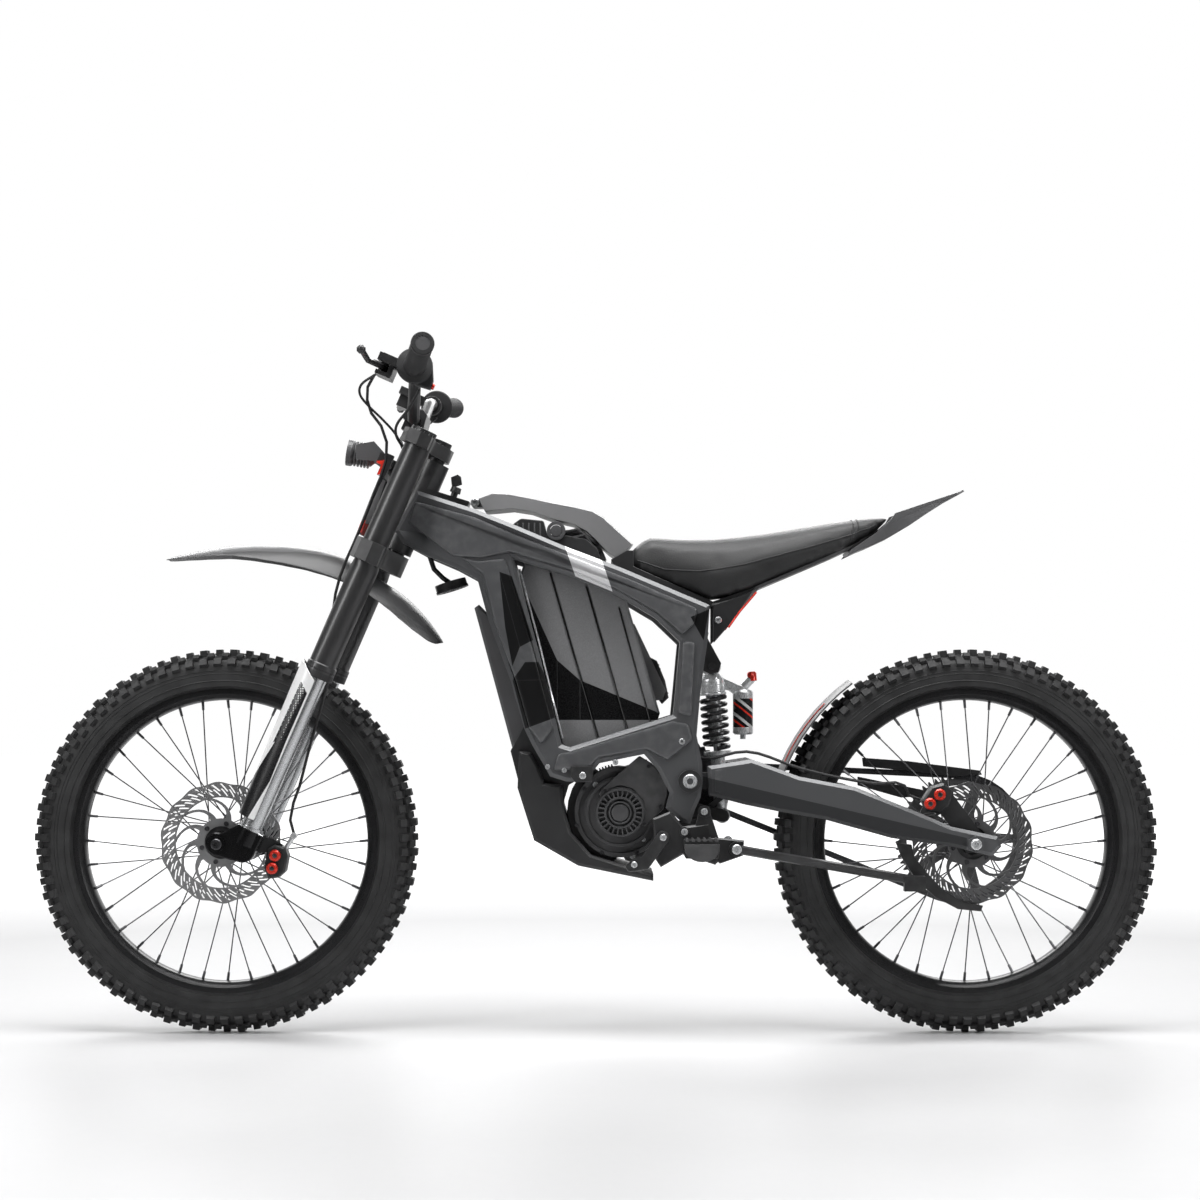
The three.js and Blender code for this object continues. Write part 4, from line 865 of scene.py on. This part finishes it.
for x, z, y in ((16, 430, -80), (92, 474, -80), (112, 404, -80), (83, 374, -80),
                (-20, 434, -64), (-34, 370, -64), (10, 322, -64), (72, 322, -64)):
    bolt(screws, x, y, z, 3.6, 2.2)
piece("motor_screws", screws, "bolt", "chassis")

# Dark sheets that close the gaps behind the side frames: painted shade for the shaded
# inside of the frame.
shade_fill = Shape()
shade_fill.slab([(-150, 500), (-122, 552), (-62, 508), (-8, 484), (-8, 462), (-48, 440),
            (-60, 400), (-60, 360), (-104, 350), (-134, 438)], -57, 57)
shade_fill.slab([(26, 836), (54, 852), (66, 852), (66, 824), (206, 762), (200, 748),
            (120, 780), (36, 816)], -50, 50)
hoop = [(mx + r * math.cos(math.radians(a)), mz + r * math.sin(math.radians(a)))
        for r, spread in ((93, range(120, 276, 12)), (78, range(264, 108, -12)))
        for a in spread]
shade_fill.slab(hoop, -48, 40)
piece("shade_fill_sheets", shade_fill, "dark", "chassis", 0.0015)

# Battery trim: bright front edge, dark seams and a strap handle.
trim = Shape()
for side in SIDES:
    trim.rod(mm(-134, side * 64, 818), mm(-100, side * 64, 690), 0.0020, sides=10)
    trim.rod(mm(-100, side * 64, 690), mm(-59, side * 64, 522), 0.0020, sides=10)
piece("battery_edge", trim, "silver", "chassis")
seams = Shape()
for side in SIDES:
    for a, b in (((-80, 812), (4, 520)), ((-17, 788), (56, 536)),
                 ((40, 752), (96, 548))):
        seams.rod(mm(a[0], side * 62.4, a[1]), mm(b[0], side * 62.4, b[1]), 0.0016,
                  sides=8)
piece("battery_seams", seams, "gloss", "chassis")
strap = Shape()
strap.sweep([mm(88, 0, 664), mm(104, 0, 656), mm(118, 0, 622), mm(124, 0, 594),
             mm(114, 0, 586)], 0.0052, 12)
for k in range(8):
    t = k / 7
    strap.lathe([(0.0050, -0.0012), (0.0068, -0.0012), (0.0068, 0.0012),
                 (0.0050, 0.0012)], mm(106 + 16 * t, 0, 650 - 50 * t),
                (0.30, 0, -0.95), 14)
piece("battery_strap", strap, "rubber", "chassis")

# Electronics under the top cover: finned box, plug and cable.
box = Shape()
box.slab([(-146, 842), (-146, 898), (-132, 908), (-92, 904), (-86, 880), (-50, 878),
          (-18, 872), (2, 856), (8, 838)], -51, 51)
piece("controller_case", box, "dark", "chassis", 0.003, ["controller"])
port = Shape()
for side in SIDES:
    y0, y1 = sorted((side * 48, side * 55))
    ring(port, -70, 886, 11, 16.5, y0, y1, 36)
    ring(port, -70, 886, 0.2, 10, y0, y1 - 2 * side, 30)
    for k in range(5):
        port.rod(mm(-138 + 10 * k, side * 51, 850), mm(-138 + 10 * k, side * 51, 900),
                 0.0016, sides=8)
piece("charge_port", port, "plastic", "chassis", 0.0008)
for number, (a, b) in enumerate((((-54, 884), (6, 862)), ((-40, 874), (10, 848)))):
    lead = Shape()
    lead.sweep([mm(a[0], -38 - 6 * number, a[1]), mm(a[0] + 20, -44, a[1] + 5),
                mm(b[0] - 14, -40, b[1] + 8), mm(b[0], -30, b[1])], 0.0032, 10)
    piece("power_lead_%d" % number, lead, "rubber", "chassis")

# Tail panels, seat bracket stripe and shock details.
def tail_place(x, y, z):
    """The tail blade narrows towards its tip."""
    side = 1 if y > 0 else -1
    return mm(x, y - side * 0.173 * (x - 441), z)


tail = Shape()
arch = Shape()
tail.pair([(441, 842), (449, 854), (492, 883), (519, 907), (526, 918), (638, 956),
           (640, 952), (548, 911), (514, 876)], 55, 58.5, tail_place)
arch.pair([(-63, 888), (-28, 891), (7, 865), (19, 835), (-28, 853), (-69, 870)],
          31, 34)
piece("tail_panels", tail, "plastic", "chassis", 0.0008)
piece("arch_panels", arch, "plastic", "chassis", 0.0008)

stripe = Shape()
for side in SIDES:
    stripe.sweep([mm(281, side * 60, 778), mm(252, side * 60.5, 744),
                  mm(232, side * 60.5, 716)], 0.0017, 8)
piece("bracket_stripe", stripe, "red", "chassis", 0)

axis = (SHOCK_LOW - SHOCK_TOP).normalized()
coil = Shape()
TURNS = 7.5
points = []
u = Vector((0, 1, 0))
v = axis.cross(u)
for i in range(int(TURNS * 24) + 1):
    t = i / 24
    a = math.tau * t
    down = 0.052 + 0.094 * t / TURNS
    points.append(SHOCK_TOP + axis * down
                  + (u * math.cos(a) + v * math.sin(a)) * 0.0208)
coil.sweep(points, 0.0040, 10)
spring = piece("shock_coil", coil, "rim", "shock_body", 0, ["shock_spring"])
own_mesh(spring)
reservoir = Shape()
tank = Vector(mm(261, 0, 568))
lean = (SHOCK_TOP - SHOCK_LOW).normalized()
reservoir.lathe([(TIP, -0.028), (0.0179, -0.028), (0.0179, 0.025),
                 (TIP, 0.025)], tank, (0, 0, 1), 40)
piece("reservoir_sleeve", reservoir, "sleeve", "shock_body", 0)
knob = Shape()
top = Vector(mm(277, 0, 631))
knob.rod(top - lean * 0.008, top + lean * 0.006, 0.0085, sides=24)
knob.rod(top + lean * 0.006, top + lean * 0.009, 0.0085, 0.006, 24)
piece("shock_knob", knob, "red", "shock_body", 0.0006)
collar = Shape()
for k, (s, r) in enumerate(((0.030, 0.0235), (0.036, 0.0215), (0.047, 0.0240))):
    collar.lathe([(0.012, 0), (r, 0), (r, 0.004), (0.012, 0.004)],
                 SHOCK_TOP + axis * s, axis, 32)
piece("shock_collars", collar, "silver", "shock_body", 0.0006)

shell = Shape()
shell.lathe([(0.0075, -0.013), (0.0165, -0.013), (0.0175, -0.010), (0.0175, 0.010),
             (0.0165, 0.013), (0.0075, 0.013)], SHOCK_TOP, (0, 1, 0), 32)
shell.lathe([(TIP, 0.012), (0.0130, 0.012), (0.0210, 0.022), (0.0225, 0.026),
             (0.0225, 0.046), (0.0150, 0.049), (0.0130, 0.053), (0.0130, 0.128),
             (0.0110, 0.132), (TIP, 0.132)], SHOCK_TOP, axis, 36)
shell.slab([(212, 634), (222, 630), (262, 612), (270, 598), (254, 592), (236, 606),
            (212, 612)], -9, 9)
shell.rod(mm(262, 0, 612), mm(277, 0, 628), 0.0078, sides=20)
piece("shock_shell", shell, "silver", "shock_body", 0.0008, ["shock_body"])
ends = Shape()
ends.lathe([(TIP, 0.528), (0.0150, 0.528), (0.0182, 0.531), (0.0182, 0.541),
            (TIP, 0.541)], mm(261, 0, 0), (0, 0, 1), 36)
ends.lathe([(TIP, 0.592), (0.0182, 0.592), (0.0182, 0.603), (0.0150, 0.608),
            (TIP, 0.608)], mm(261, 0, 0), (0, 0, 1), 36)
ends.rod(mm(261, 0, 520), mm(261, 0, 529), 0.005, sides=16)
piece("reservoir_ends", ends, "silver", "shock_body", 0.0006)

# Rear sprocket: an open toothed ring on five arms.
sprocket = Shape()
TEETH = 56
hub_at = Vector((AXLE_X, 0, AXLE_Z))
loop = []
for i in range(TEETH):
    for share, r in ((0.0, 0.1085), (0.22, 0.1090), (0.42, 0.1160), (0.58, 0.1160),
                     (0.78, 0.1090)):
        a = math.tau * (i + share) / TEETH
        loop.append((math.cos(a), math.sin(a), r))
count = len(loop)
verts = []
for y in (CHAIN_Y - 0.003, CHAIN_Y + 0.003):
    for inner_ring in (False, True):
        verts += [hub_at + Vector((c * (0.096 if inner_ring else r), y,
                                   s * (0.096 if inner_ring else r)))
                  for c, s, r in loop]
faces = []
for i in range(count):
    j = (i + 1) % count
    a, b, c, d = 0, count, 2 * count, 3 * count
    faces += [[a + i, b + i, b + j, a + j], [c + i, c + j, d + j, d + i],
              [a + i, a + j, c + j, c + i], [b + i, d + i, d + j, b + j]]
sprocket.add(verts, faces)
for i in range(5):
    out, along = spoke(math.tau * i / 5)
    sprocket.block(hub_at + out * 0.066 + Vector((0, CHAIN_Y, 0)), along * 0.012,
                   Vector((0, 0.0028, 0)), out * 0.034, 0.62)
sprocket.lathe([(0.026, CHAIN_Y - 0.004), (0.044, CHAIN_Y - 0.004),
                (0.044, CHAIN_Y + 0.004), (0.026, CHAIN_Y + 0.004)], hub_at,
               (0, 1, 0), 48)
piece("sprocket_ring", sprocket, "cast", "rear_wheel", 0.0, ["rear_sprocket"])

# Footpeg ends: a half-round toothed shoe at the tip.
for side, name in ((-1, "left"), (1, "right")):
    shoe = Shape()
    y0, y1 = sorted((side * 190, side * 197))
    arc = [(180 + 30 * math.cos(math.radians(a)), 338 + 24 * math.sin(math.radians(a)))
           for a in range(180, 361, 15)]
    shoe.slab(arc + [(210, 344), (150, 344)], y0, y1)
    for k in range(6):
        x = 155 + 10 * k
        for y in (152, 172, 193):
            shoe.block(mm(x, side * y, 351), mm(2.6, 0, 0), mm(0, 2.0, 0),
                       mm(0, 0, 2.6), 0.6)
    piece("peg_shoe_" + name, shoe, "cast", "footpeg_" + name, 0.0006)

# Raised panels on the swingarm.
def arm_place(x, y, z):
    """The swingarm narrows towards the rear axle."""
    return mm(x, y - (1 if y > 0 else -1) * 22 * (x - 194) / 461, z)


panels = Shape()
panels.pair([(206, 468), (268, 478), (312, 462), (353, 447), (449, 428),
             (552, 386), (606, 362), (600, 346), (514, 360), (400, 392),
             (318, 406), (260, 416), (206, 430)], 97, 103, arm_place)
piece("arm_panels", panels, "arm", "swingarm", 0.0045)

# Calipers: red piston caps with their sockets.
for name, body, caps in (
        ("front_caliper", "fork_lower", ((-557.6, 318.8), (-562.5, 296.5))),
        ("rear_caliper", "swingarm", ((596, 425), (579, 409)))):
    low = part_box(name)[0][1] * 1000
    red_caps = Shape()
    for x, z in caps:
        red_caps.lathe([(TIP, low / 1000 - 0.005), (0.0078, low / 1000 - 0.005),
                        (0.0102, low / 1000 - 0.0025), (0.0102, low / 1000 + 0.004),
                        (TIP, low / 1000 + 0.004)], mm(x, 0, z), (0, 1, 0), 28)
    piece(name + "_caps", red_caps, "red", body, 0.0004)
    sockets = Shape()
    for x, z in caps:
        bolt(sockets, x, low - 4.6, z, 4.2, 1.2)
    piece(name + "_sockets", sockets, "bolt", body)

# Handlebar grips: flange, ribbed sleeve and end cap.
GRIP_IN = Vector(mm(-302.1, 258, 1143.9))
GRIP_OUT = Vector(mm(-277.2, 401, 1160.5))
for side, name, body, node in ((-1, "grip_sleeve_left", "steering_head", "grip_left"),
                               (1, "grip_sleeve_right", "throttle", "throttle_grip")):
    a = Vector((GRIP_IN.x, side * GRIP_IN.y, GRIP_IN.z))
    b = Vector((GRIP_OUT.x, side * GRIP_OUT.y, GRIP_OUT.z))
    line = b - a
    long = line.length
    profile = [(0.0118, 0.0), (0.029, 0.0), (0.0305, 0.002), (0.0305, 0.0045),
               (0.029, 0.0065), (0.0195, 0.009), (0.0178, 0.018)]
    s = 0.020
    while s < long - 0.016:
        profile += [(0.0178, s), (0.0186, s + 0.0008), (0.0186, s + 0.0026),
                    (0.0178, s + 0.0034)]
        s += 0.0052
    profile += [(0.0178, long - 0.012), (0.0192, long - 0.010), (0.0192, long - 0.002),
                (0.0180, long - 0.0005), (0.0118, long - 0.0005)]
    grip = Shape()
    grip.lathe(profile, a, line, 40)
    piece(name, grip, "rubber", body, 0, [node])
    cap = Shape()
    cap.lathe([(TIP, long - 0.001), (0.0165, long - 0.001), (0.0160, long - 0.004),
               (TIP, long - 0.004)], a, line, 36)
    piece(name.replace("sleeve", "cap"), cap, "plastic", body)

# Headlight: round finned body on a forked bracket, with a lens.
lamp = Shape()
way = Vector((-0.985, 0, 0.17)).normalized()
back_end = Vector(mm(-392, 0, 1021))
profile = [(TIP, 0.0), (0.012, 0.0), (0.0185, 0.006)]
for k in range(5):
    s = 0.009 + 0.006 * k
    profile += [(0.0185, s), (0.0225, s + 0.0006), (0.0225, s + 0.0030),
                (0.0185, s + 0.0036)]
profile += [(0.0225, 0.040), (0.0235, 0.042), (0.0235, 0.050), (0.0205, 0.050),
            (0.0190, 0.044), (TIP, 0.044)]
lamp.lathe(profile, back_end, way, 40)
for side in SIDES:
    lamp.slab([(-424, 1040), (-392, 1046), (-374, 1026), (-366, 1004), (-378, 1000),
               (-394, 1012), (-424, 1014)], *sorted((side * 24, side * 29)))
    bolt(lamp, -380, side * 29, 1015, 5, 2, (0, side, 0))
piece("headlight_body", lamp, "plastic", "headlight", 0.0008, ["headlight"])
glass = Shape()
glass.lathe([(TIP, 0.0485), (0.012, 0.0480), (0.0200, 0.0460), (0.0200, 0.0445),
             (TIP, 0.0445)], back_end, way, 40)
piece("headlight_lens", glass, "lens", "headlight")

# Front hose joint, fork caps and seals.
banjo = Shape()
banjo.rod(mm(-526, -72, 355), mm(-541, -71, 331), 0.0042, sides=16)
banjo.rod(mm(-527.5, -79, 352), mm(-527.5, -65, 352), 0.0062, sides=6)
piece("front_banjo", banjo, "silver", "fork_lower", 0.0004)

caps = Shape()
for side in SIDES:
    for s, r, sides in ((377, 0.023, 32), (381, 0.011, 6)):
        caps.rod(fork(0, side * 100, s), fork(0, side * 100, s + 4), r,
                 sides=sides)
    for s in (140, 163, 358, 370):
        at = fork(-27, side * 88, s)
        caps.rod(at, at - BACK * 0.004, 0.0052, sides=12)
piece("fork_caps", caps, "silver", "steering_head", 0.0006)
seals = Shape()
SEAL_R = 0.0268
for side in SIDES:
    for s, bore, tall in ((-85, 0.0205, 0.012), (-71, 0.024, 0.004)):
        seals.lathe([(bore, 0), (SEAL_R, 0.001), (SEAL_R, tall), (0.024, tall)],
                    fork(0, side * 100, s), UP, 40)
piece("fork_seals", seals, "rubber", "steering_head", 0.0006)

# Leads from the controls to the head.
def lead(name, points, r=0.0024, body="steering_head"):
    """A smooth lead through points in mm."""
    line = [Vector(mm(*p)) for p in points]
    smooth = []
    for i in range(len(line) - 1):
        p0, p1 = line[max(i - 1, 0)], line[i]
        p2, p3 = line[i + 1], line[min(i + 2, len(line) - 1)]
        for k in range(6):
            t = k / 6
            smooth.append(0.5 * (2 * p1 + (p2 - p0) * t
                                 + (2 * p0 - 5 * p1 + 4 * p2 - p3) * t * t
                                 + (3 * p1 - p0 - 3 * p2 + p3) * t ** 3))
    smooth.append(line[-1])
    shape = Shape()
    shape.sweep(smooth, r, 10)
    return piece(name, shape, "rubber", body)


lead("throttle_lead", [(-300, 236, 1120), (-322, 190, 1096), (-344, 120, 1072),
                       (-352, 60, 1062), (-344, 20, 1040), (-330, 8, 1016)])
lead("switch_lead", [(-296, -232, 1108), (-318, -180, 1084), (-344, -110, 1066),
                     (-350, -56, 1052), (-340, -22, 1034), (-328, -10, 1014)])
lead("bar_loop", [(-372, -196, 1140), (-398, -178, 1126), (-404, -150, 1112),
                  (-392, -120, 1096), (-372, -80, 1078), (-352, -50, 1056),
                  (-340, -30, 1030)], 0.0022)

# Frame-side trims: hinge bolt, horn rim and key bow.
hinge = Shape()
bolt_pair(hinge, -214, 20, 938, 8.0, 3.0)
piece("cover_hinge_bolts", hinge, "silver", "top_cover")
rim = Shape()
tilt = Vector((-0.299, 0, 0.954))
rim.lathe([(0.022, -0.001), (0.0295, -0.001), (0.0295, 0.003), (0.022, 0.003)],
          mm(-255, 0, 785), tilt, 36)
for k in range(3):
    rim.lathe([(0.006 + 0.006 * k, -0.0016), (0.0085 + 0.006 * k, -0.0016),
               (0.0085 + 0.006 * k, 0.001), (0.006 + 0.006 * k, 0.001)],
              mm(-255, 0, 785), tilt, 30)
piece("horn_rings", rim, "bolt", "chassis", 0)
bow = Shape()
bow.slab([(-256, 966), (-238, 972), (-240, 986), (-246, 990), (-258, 985)], -1.6, 1.6)
piece("key_bow", bow, "dark", "key_switch", 0.0008)

# Axle nuts, disc guard, chain guards and the hugger stripe.
for x, body, look, left, right in (
        (-655, "fork_lower", "bolt", "fork_leg_left", "fork_leg_right"),
        (655, "swingarm", "silver", "swingarm", "swingarm")):
    nut = Shape()
    for side, edge in ((-1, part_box(left)[0][1]), (1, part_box(right)[1][1])):
        bolt(nut, x, edge * 1000 - side * 0.5, 340, 9.5, 4.5, (0, side, 0))
    piece("axle_nuts_" + body, nut, look, body, 0.0005)
guards = Shape()
guards.slab([(520, 342), (530, 316), (556, 276), (590, 246), (628, 226), (668, 222),
             (672, 232), (634, 240), (602, 260), (574, 290), (552, 318), (548, 338)],
            -98, -93)
piece("disc_guard", guards, "black", "swingarm", 0.0012)
slides = Shape()
slides.slab([(478, 486), (560, 480), (690, 463), (694, 455), (640, 452), (560, 462),
             (480, 470)], 46, 51)
slides.slab([(470, 452), (588, 428), (588, 416), (548, 414), (470, 436)], 46, 51)
piece("chain_guards", slides, "dark", "swingarm", 0.0012)
line = Shape()
trail = []
for a in range(136, 160, 3):
    out = (0.3499 + 0.003 * ((a - 126) / 40) ** 2) * Vector(
        (math.cos(math.radians(a)), 0, math.sin(math.radians(a))))
    trail.append(Vector((AXLE_X, -0.030, AXLE_Z)) + out)
line.sweep(trail, 0.0010, 6)
piece("hugger_stripe", line, "red", "swingarm")

# ------------------------------------------------------------ seat

CLOTH_FRAMES = 20
PUFF = 0.007  # the cover moves no further than this from the foam


def seat_cushion():
    """Foam under a stretched cover: remeshed, puffed as cloth, then divided once;
    seam() lays the sewn lines on afterwards.
    """
    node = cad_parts["seat_cushion"]
    mesh = node.data.copy()
    mesh.name = "seat_pad"
    pad = bpy.data.objects.new("seat_pad", mesh)
    bpy.context.scene.collection.objects.link(pad)
    bm = bmesh.new()
    bm.from_mesh(mesh)
    bmesh.ops.remove_doubles(bm, verts=bm.verts, dist=JOIN)
    middle = Vector((0.28, 0, 0.84))
    for vert in bm.verts:
        vert.co = middle + (vert.co - middle) * 0.985
    bm.to_mesh(mesh)
    bm.free()

    def apply():
        depsgraph = bpy.context.evaluated_depsgraph_get()
        new = bpy.data.meshes.new_from_object(pad.evaluated_get(depsgraph))
        pad.modifiers.clear()
        pad.data = new

    voxel = pad.modifiers.new("voxel", "REMESH")
    voxel.mode = "VOXEL"
    voxel.voxel_size = 0.0065
    pad.modifiers.new("relax", "SMOOTH").iterations = 3
    apply()
    before = [v.co.copy() for v in pad.data.vertices]
    cloth = pad.modifiers.new("cloth", "CLOTH")
    cloth.settings.use_pressure = True
    cloth.settings.uniform_pressure_force = 3.0
    cloth.settings.effector_weights.gravity = 0
    cloth.settings.tension_stiffness = 30
    cloth.settings.bending_stiffness = 4
    scene = bpy.context.scene
    cloth.point_cache.frame_start = 1
    cloth.point_cache.frame_end = CLOTH_FRAMES
    for number in range(1, CLOTH_FRAMES + 1):
        scene.frame_set(number)
    apply()
    scene.frame_set(1)
    for vert, start in zip(pad.data.vertices, before):
        shift = vert.co - start
        if shift.length > PUFF:
            vert.co = start + shift.normalized() * PUFF
        if start.z < 0.80 and shift.z < 0:
            vert.co.z = max(vert.co.z, start.z - 0.001)
    divide = pad.modifiers.new("divide", "SUBSURF")
    divide.levels = divide.render_levels = 1
    apply()
    pad.data.materials.clear()
    pad.data.materials.append(mats["seat"].mat)
    for polygon in pad.data.polygons:
        polygon.use_smooth = True
    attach(pad, "chassis")
    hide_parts("seat_cushion")
    return pad


seat_pad = seat_cushion()


def seam(name, points, r=0.0013):
    """A sewn line that lies on the cushion, through places in mm."""
    depsgraph = bpy.context.evaluated_depsgraph_get()
    line = [Vector(mm(*p)) for p in points]
    dense = []
    for a, b in zip(line, line[1:]):
        dense += [a.lerp(b, k / 8) for k in range(8)]
    dense.append(line[-1])
    on = [seat_pad.closest_point_on_mesh(p, depsgraph=depsgraph)[1] for p in dense]
    shape = Shape()
    shape.sweep(on, r, 8)
    piece(name, shape, "rubber", "chassis")


for side, s in ((-1, "left"), (1, "right")):
    seam("seat_seam_" + s, [(70, side * 44, 836), (120, side * 60, 818),
                            (180, side * 66, 816), (260, side * 70, 828),
                            (340, side * 74, 850), (420, side * 74, 872),
                            (500, side * 60, 896)])
for x in (452, 461):
    seam("seat_cross_seam_%d" % x, [(x, -70, 860), (x, -64, 890), (x, -30, 905),
                                    (x, 0, 906), (x, 30, 905), (x, 64, 890),
                                    (x, 70, 860)])

# ------------------------------------------------------------ stage

def stage():
    """Pale floor that glows more with distance, a wall of light behind, four soft
    lights and the camera.
    """
    def sheet(name, line, wide, look):
        mesh = bpy.data.meshes.new(name)
        verts = [(x, y, z) for y, z in line for x in (-wide, wide)]
        mesh.from_pydata(verts, [], [(2 * i, 2 * i + 1, 2 * i + 3, 2 * i + 2)
                                     for i in range(len(line) - 1)])
        obj = bpy.data.objects.new(name, mesh)
        bpy.context.scene.collection.objects.link(obj)
        mesh.materials.append(look.mat)
        return obj

    glow = finish("backdrop", (0.9, 0.9, 0.9), 0.9, 0.0, 0.01, 1, 10, 0.0000001)
    glow.feed("Emission Color", (1, 1, 1, 1))
    glow.feed("Emission Strength", 0.85)
    glowing_floor = finish("pale_floor", (0.52, 0.52, 0.525), 0.42, 0.0, 0.01, 1.5, 40,
                  0.0000001, rough_span=0.01)
    # The floor glows from nothing 2.2 m from the middle to full white 5.5 m out,
    # fading into the white backdrop.
    far = glowing_floor.new("ShaderNodeVectorMath", operation="LENGTH")
    glowing_floor.link(glowing_floor.place, far.inputs[0])
    glowing_floor.feed("Emission Strength",
              glowing_floor.spread(far.outputs["Value"], 0.0, 1.0, 2.2, 5.5))
    glowing_floor.feed("Emission Color", (1, 1, 1, 1))
    sheet("floor", [(-2.6, 0.0), (2.6, 0.0)], 2.6, glowing_floor)
    far_floor = sheet("floor_far", [(-24.0, -0.0005), (24.0, -0.0005)], 24.0, glowing_floor)
    far_floor.visible_diffuse = far_floor.visible_glossy = False
    wall = sheet("backdrop", [(7.0, 0.0), (7.0, 7.0)], 12.0, glow)
    wall.visible_camera = False

    def softbox(name, place, aim, power, wide_m, tall_m):
        light = bpy.data.lights.new(name, "AREA")
        light.shape = "RECTANGLE"
        light.size, light.size_y = wide_m, tall_m
        light.energy = power
        lamp = bpy.data.objects.new(name, light)
        lamp.location = place
        away = Vector(aim) - Vector(place)
        lamp.rotation_euler = away.to_track_quat("-Z", "Y").to_euler()
        bpy.context.scene.collection.objects.link(lamp)

    softbox("top", (0, -0.5, 3.4), (0, 0, 0.6), 170, 3.6, 1.6)
    softbox("left", (-3.0, -2.2, 2.4), (0, 0, 0.6), 60, 1.2, 1.6)
    softbox("right", (3.2, -2.2, 2.0), (0, 0, 0.6), 45, 1.0, 1.8)
    softbox("behind", (0, 3.0, 2.8), (0, 0, 0.7), 110, 4.0, 1.2)

    world = bpy.data.worlds.new("studio")
    bpy.context.scene.world = world
    world.use_nodes = True
    tree = world.node_tree
    sky = tree.nodes["Background"]
    sky.inputs["Color"].default_value = (1, 1, 1, 1)
    where = tree.nodes.new("ShaderNodeTexCoord")
    split = tree.nodes.new("ShaderNodeSeparateXYZ")
    ramp = tree.nodes.new("ShaderNodeMapRange")
    for socket, value in zip(list(ramp.inputs)[1:5], (-0.1, 0.95, 0.006, 0.06)):
        socket.default_value = value
    tree.links.new(where.outputs["Generated"], split.inputs[0])
    tree.links.new(split.outputs[2], ramp.inputs[0])
    path = tree.nodes.new("ShaderNodeLightPath")
    most = tree.nodes.new("ShaderNodeMath")
    most.operation = "MAXIMUM"
    tree.links.new(path.outputs["Is Camera Ray"], most.inputs[0])
    tree.links.new(ramp.outputs[0], most.inputs[1])
    tree.links.new(most.outputs[0], sky.inputs["Strength"])

    data = bpy.data.cameras.new("camera")
    data.sensor_width = 36
    data.lens = 69.2
    data.shift_y = 0.091
    data.clip_end = 60
    camera = bpy.data.objects.new("camera", data)
    camera.location = (0.007, -4.1, 0.573)
    camera.rotation_euler = (math.pi / 2, 0, 0)
    bpy.context.scene.collection.objects.link(camera)
    bpy.context.scene.camera = camera
    bpy.context.scene.view_settings.view_transform = "Standard"


stage()
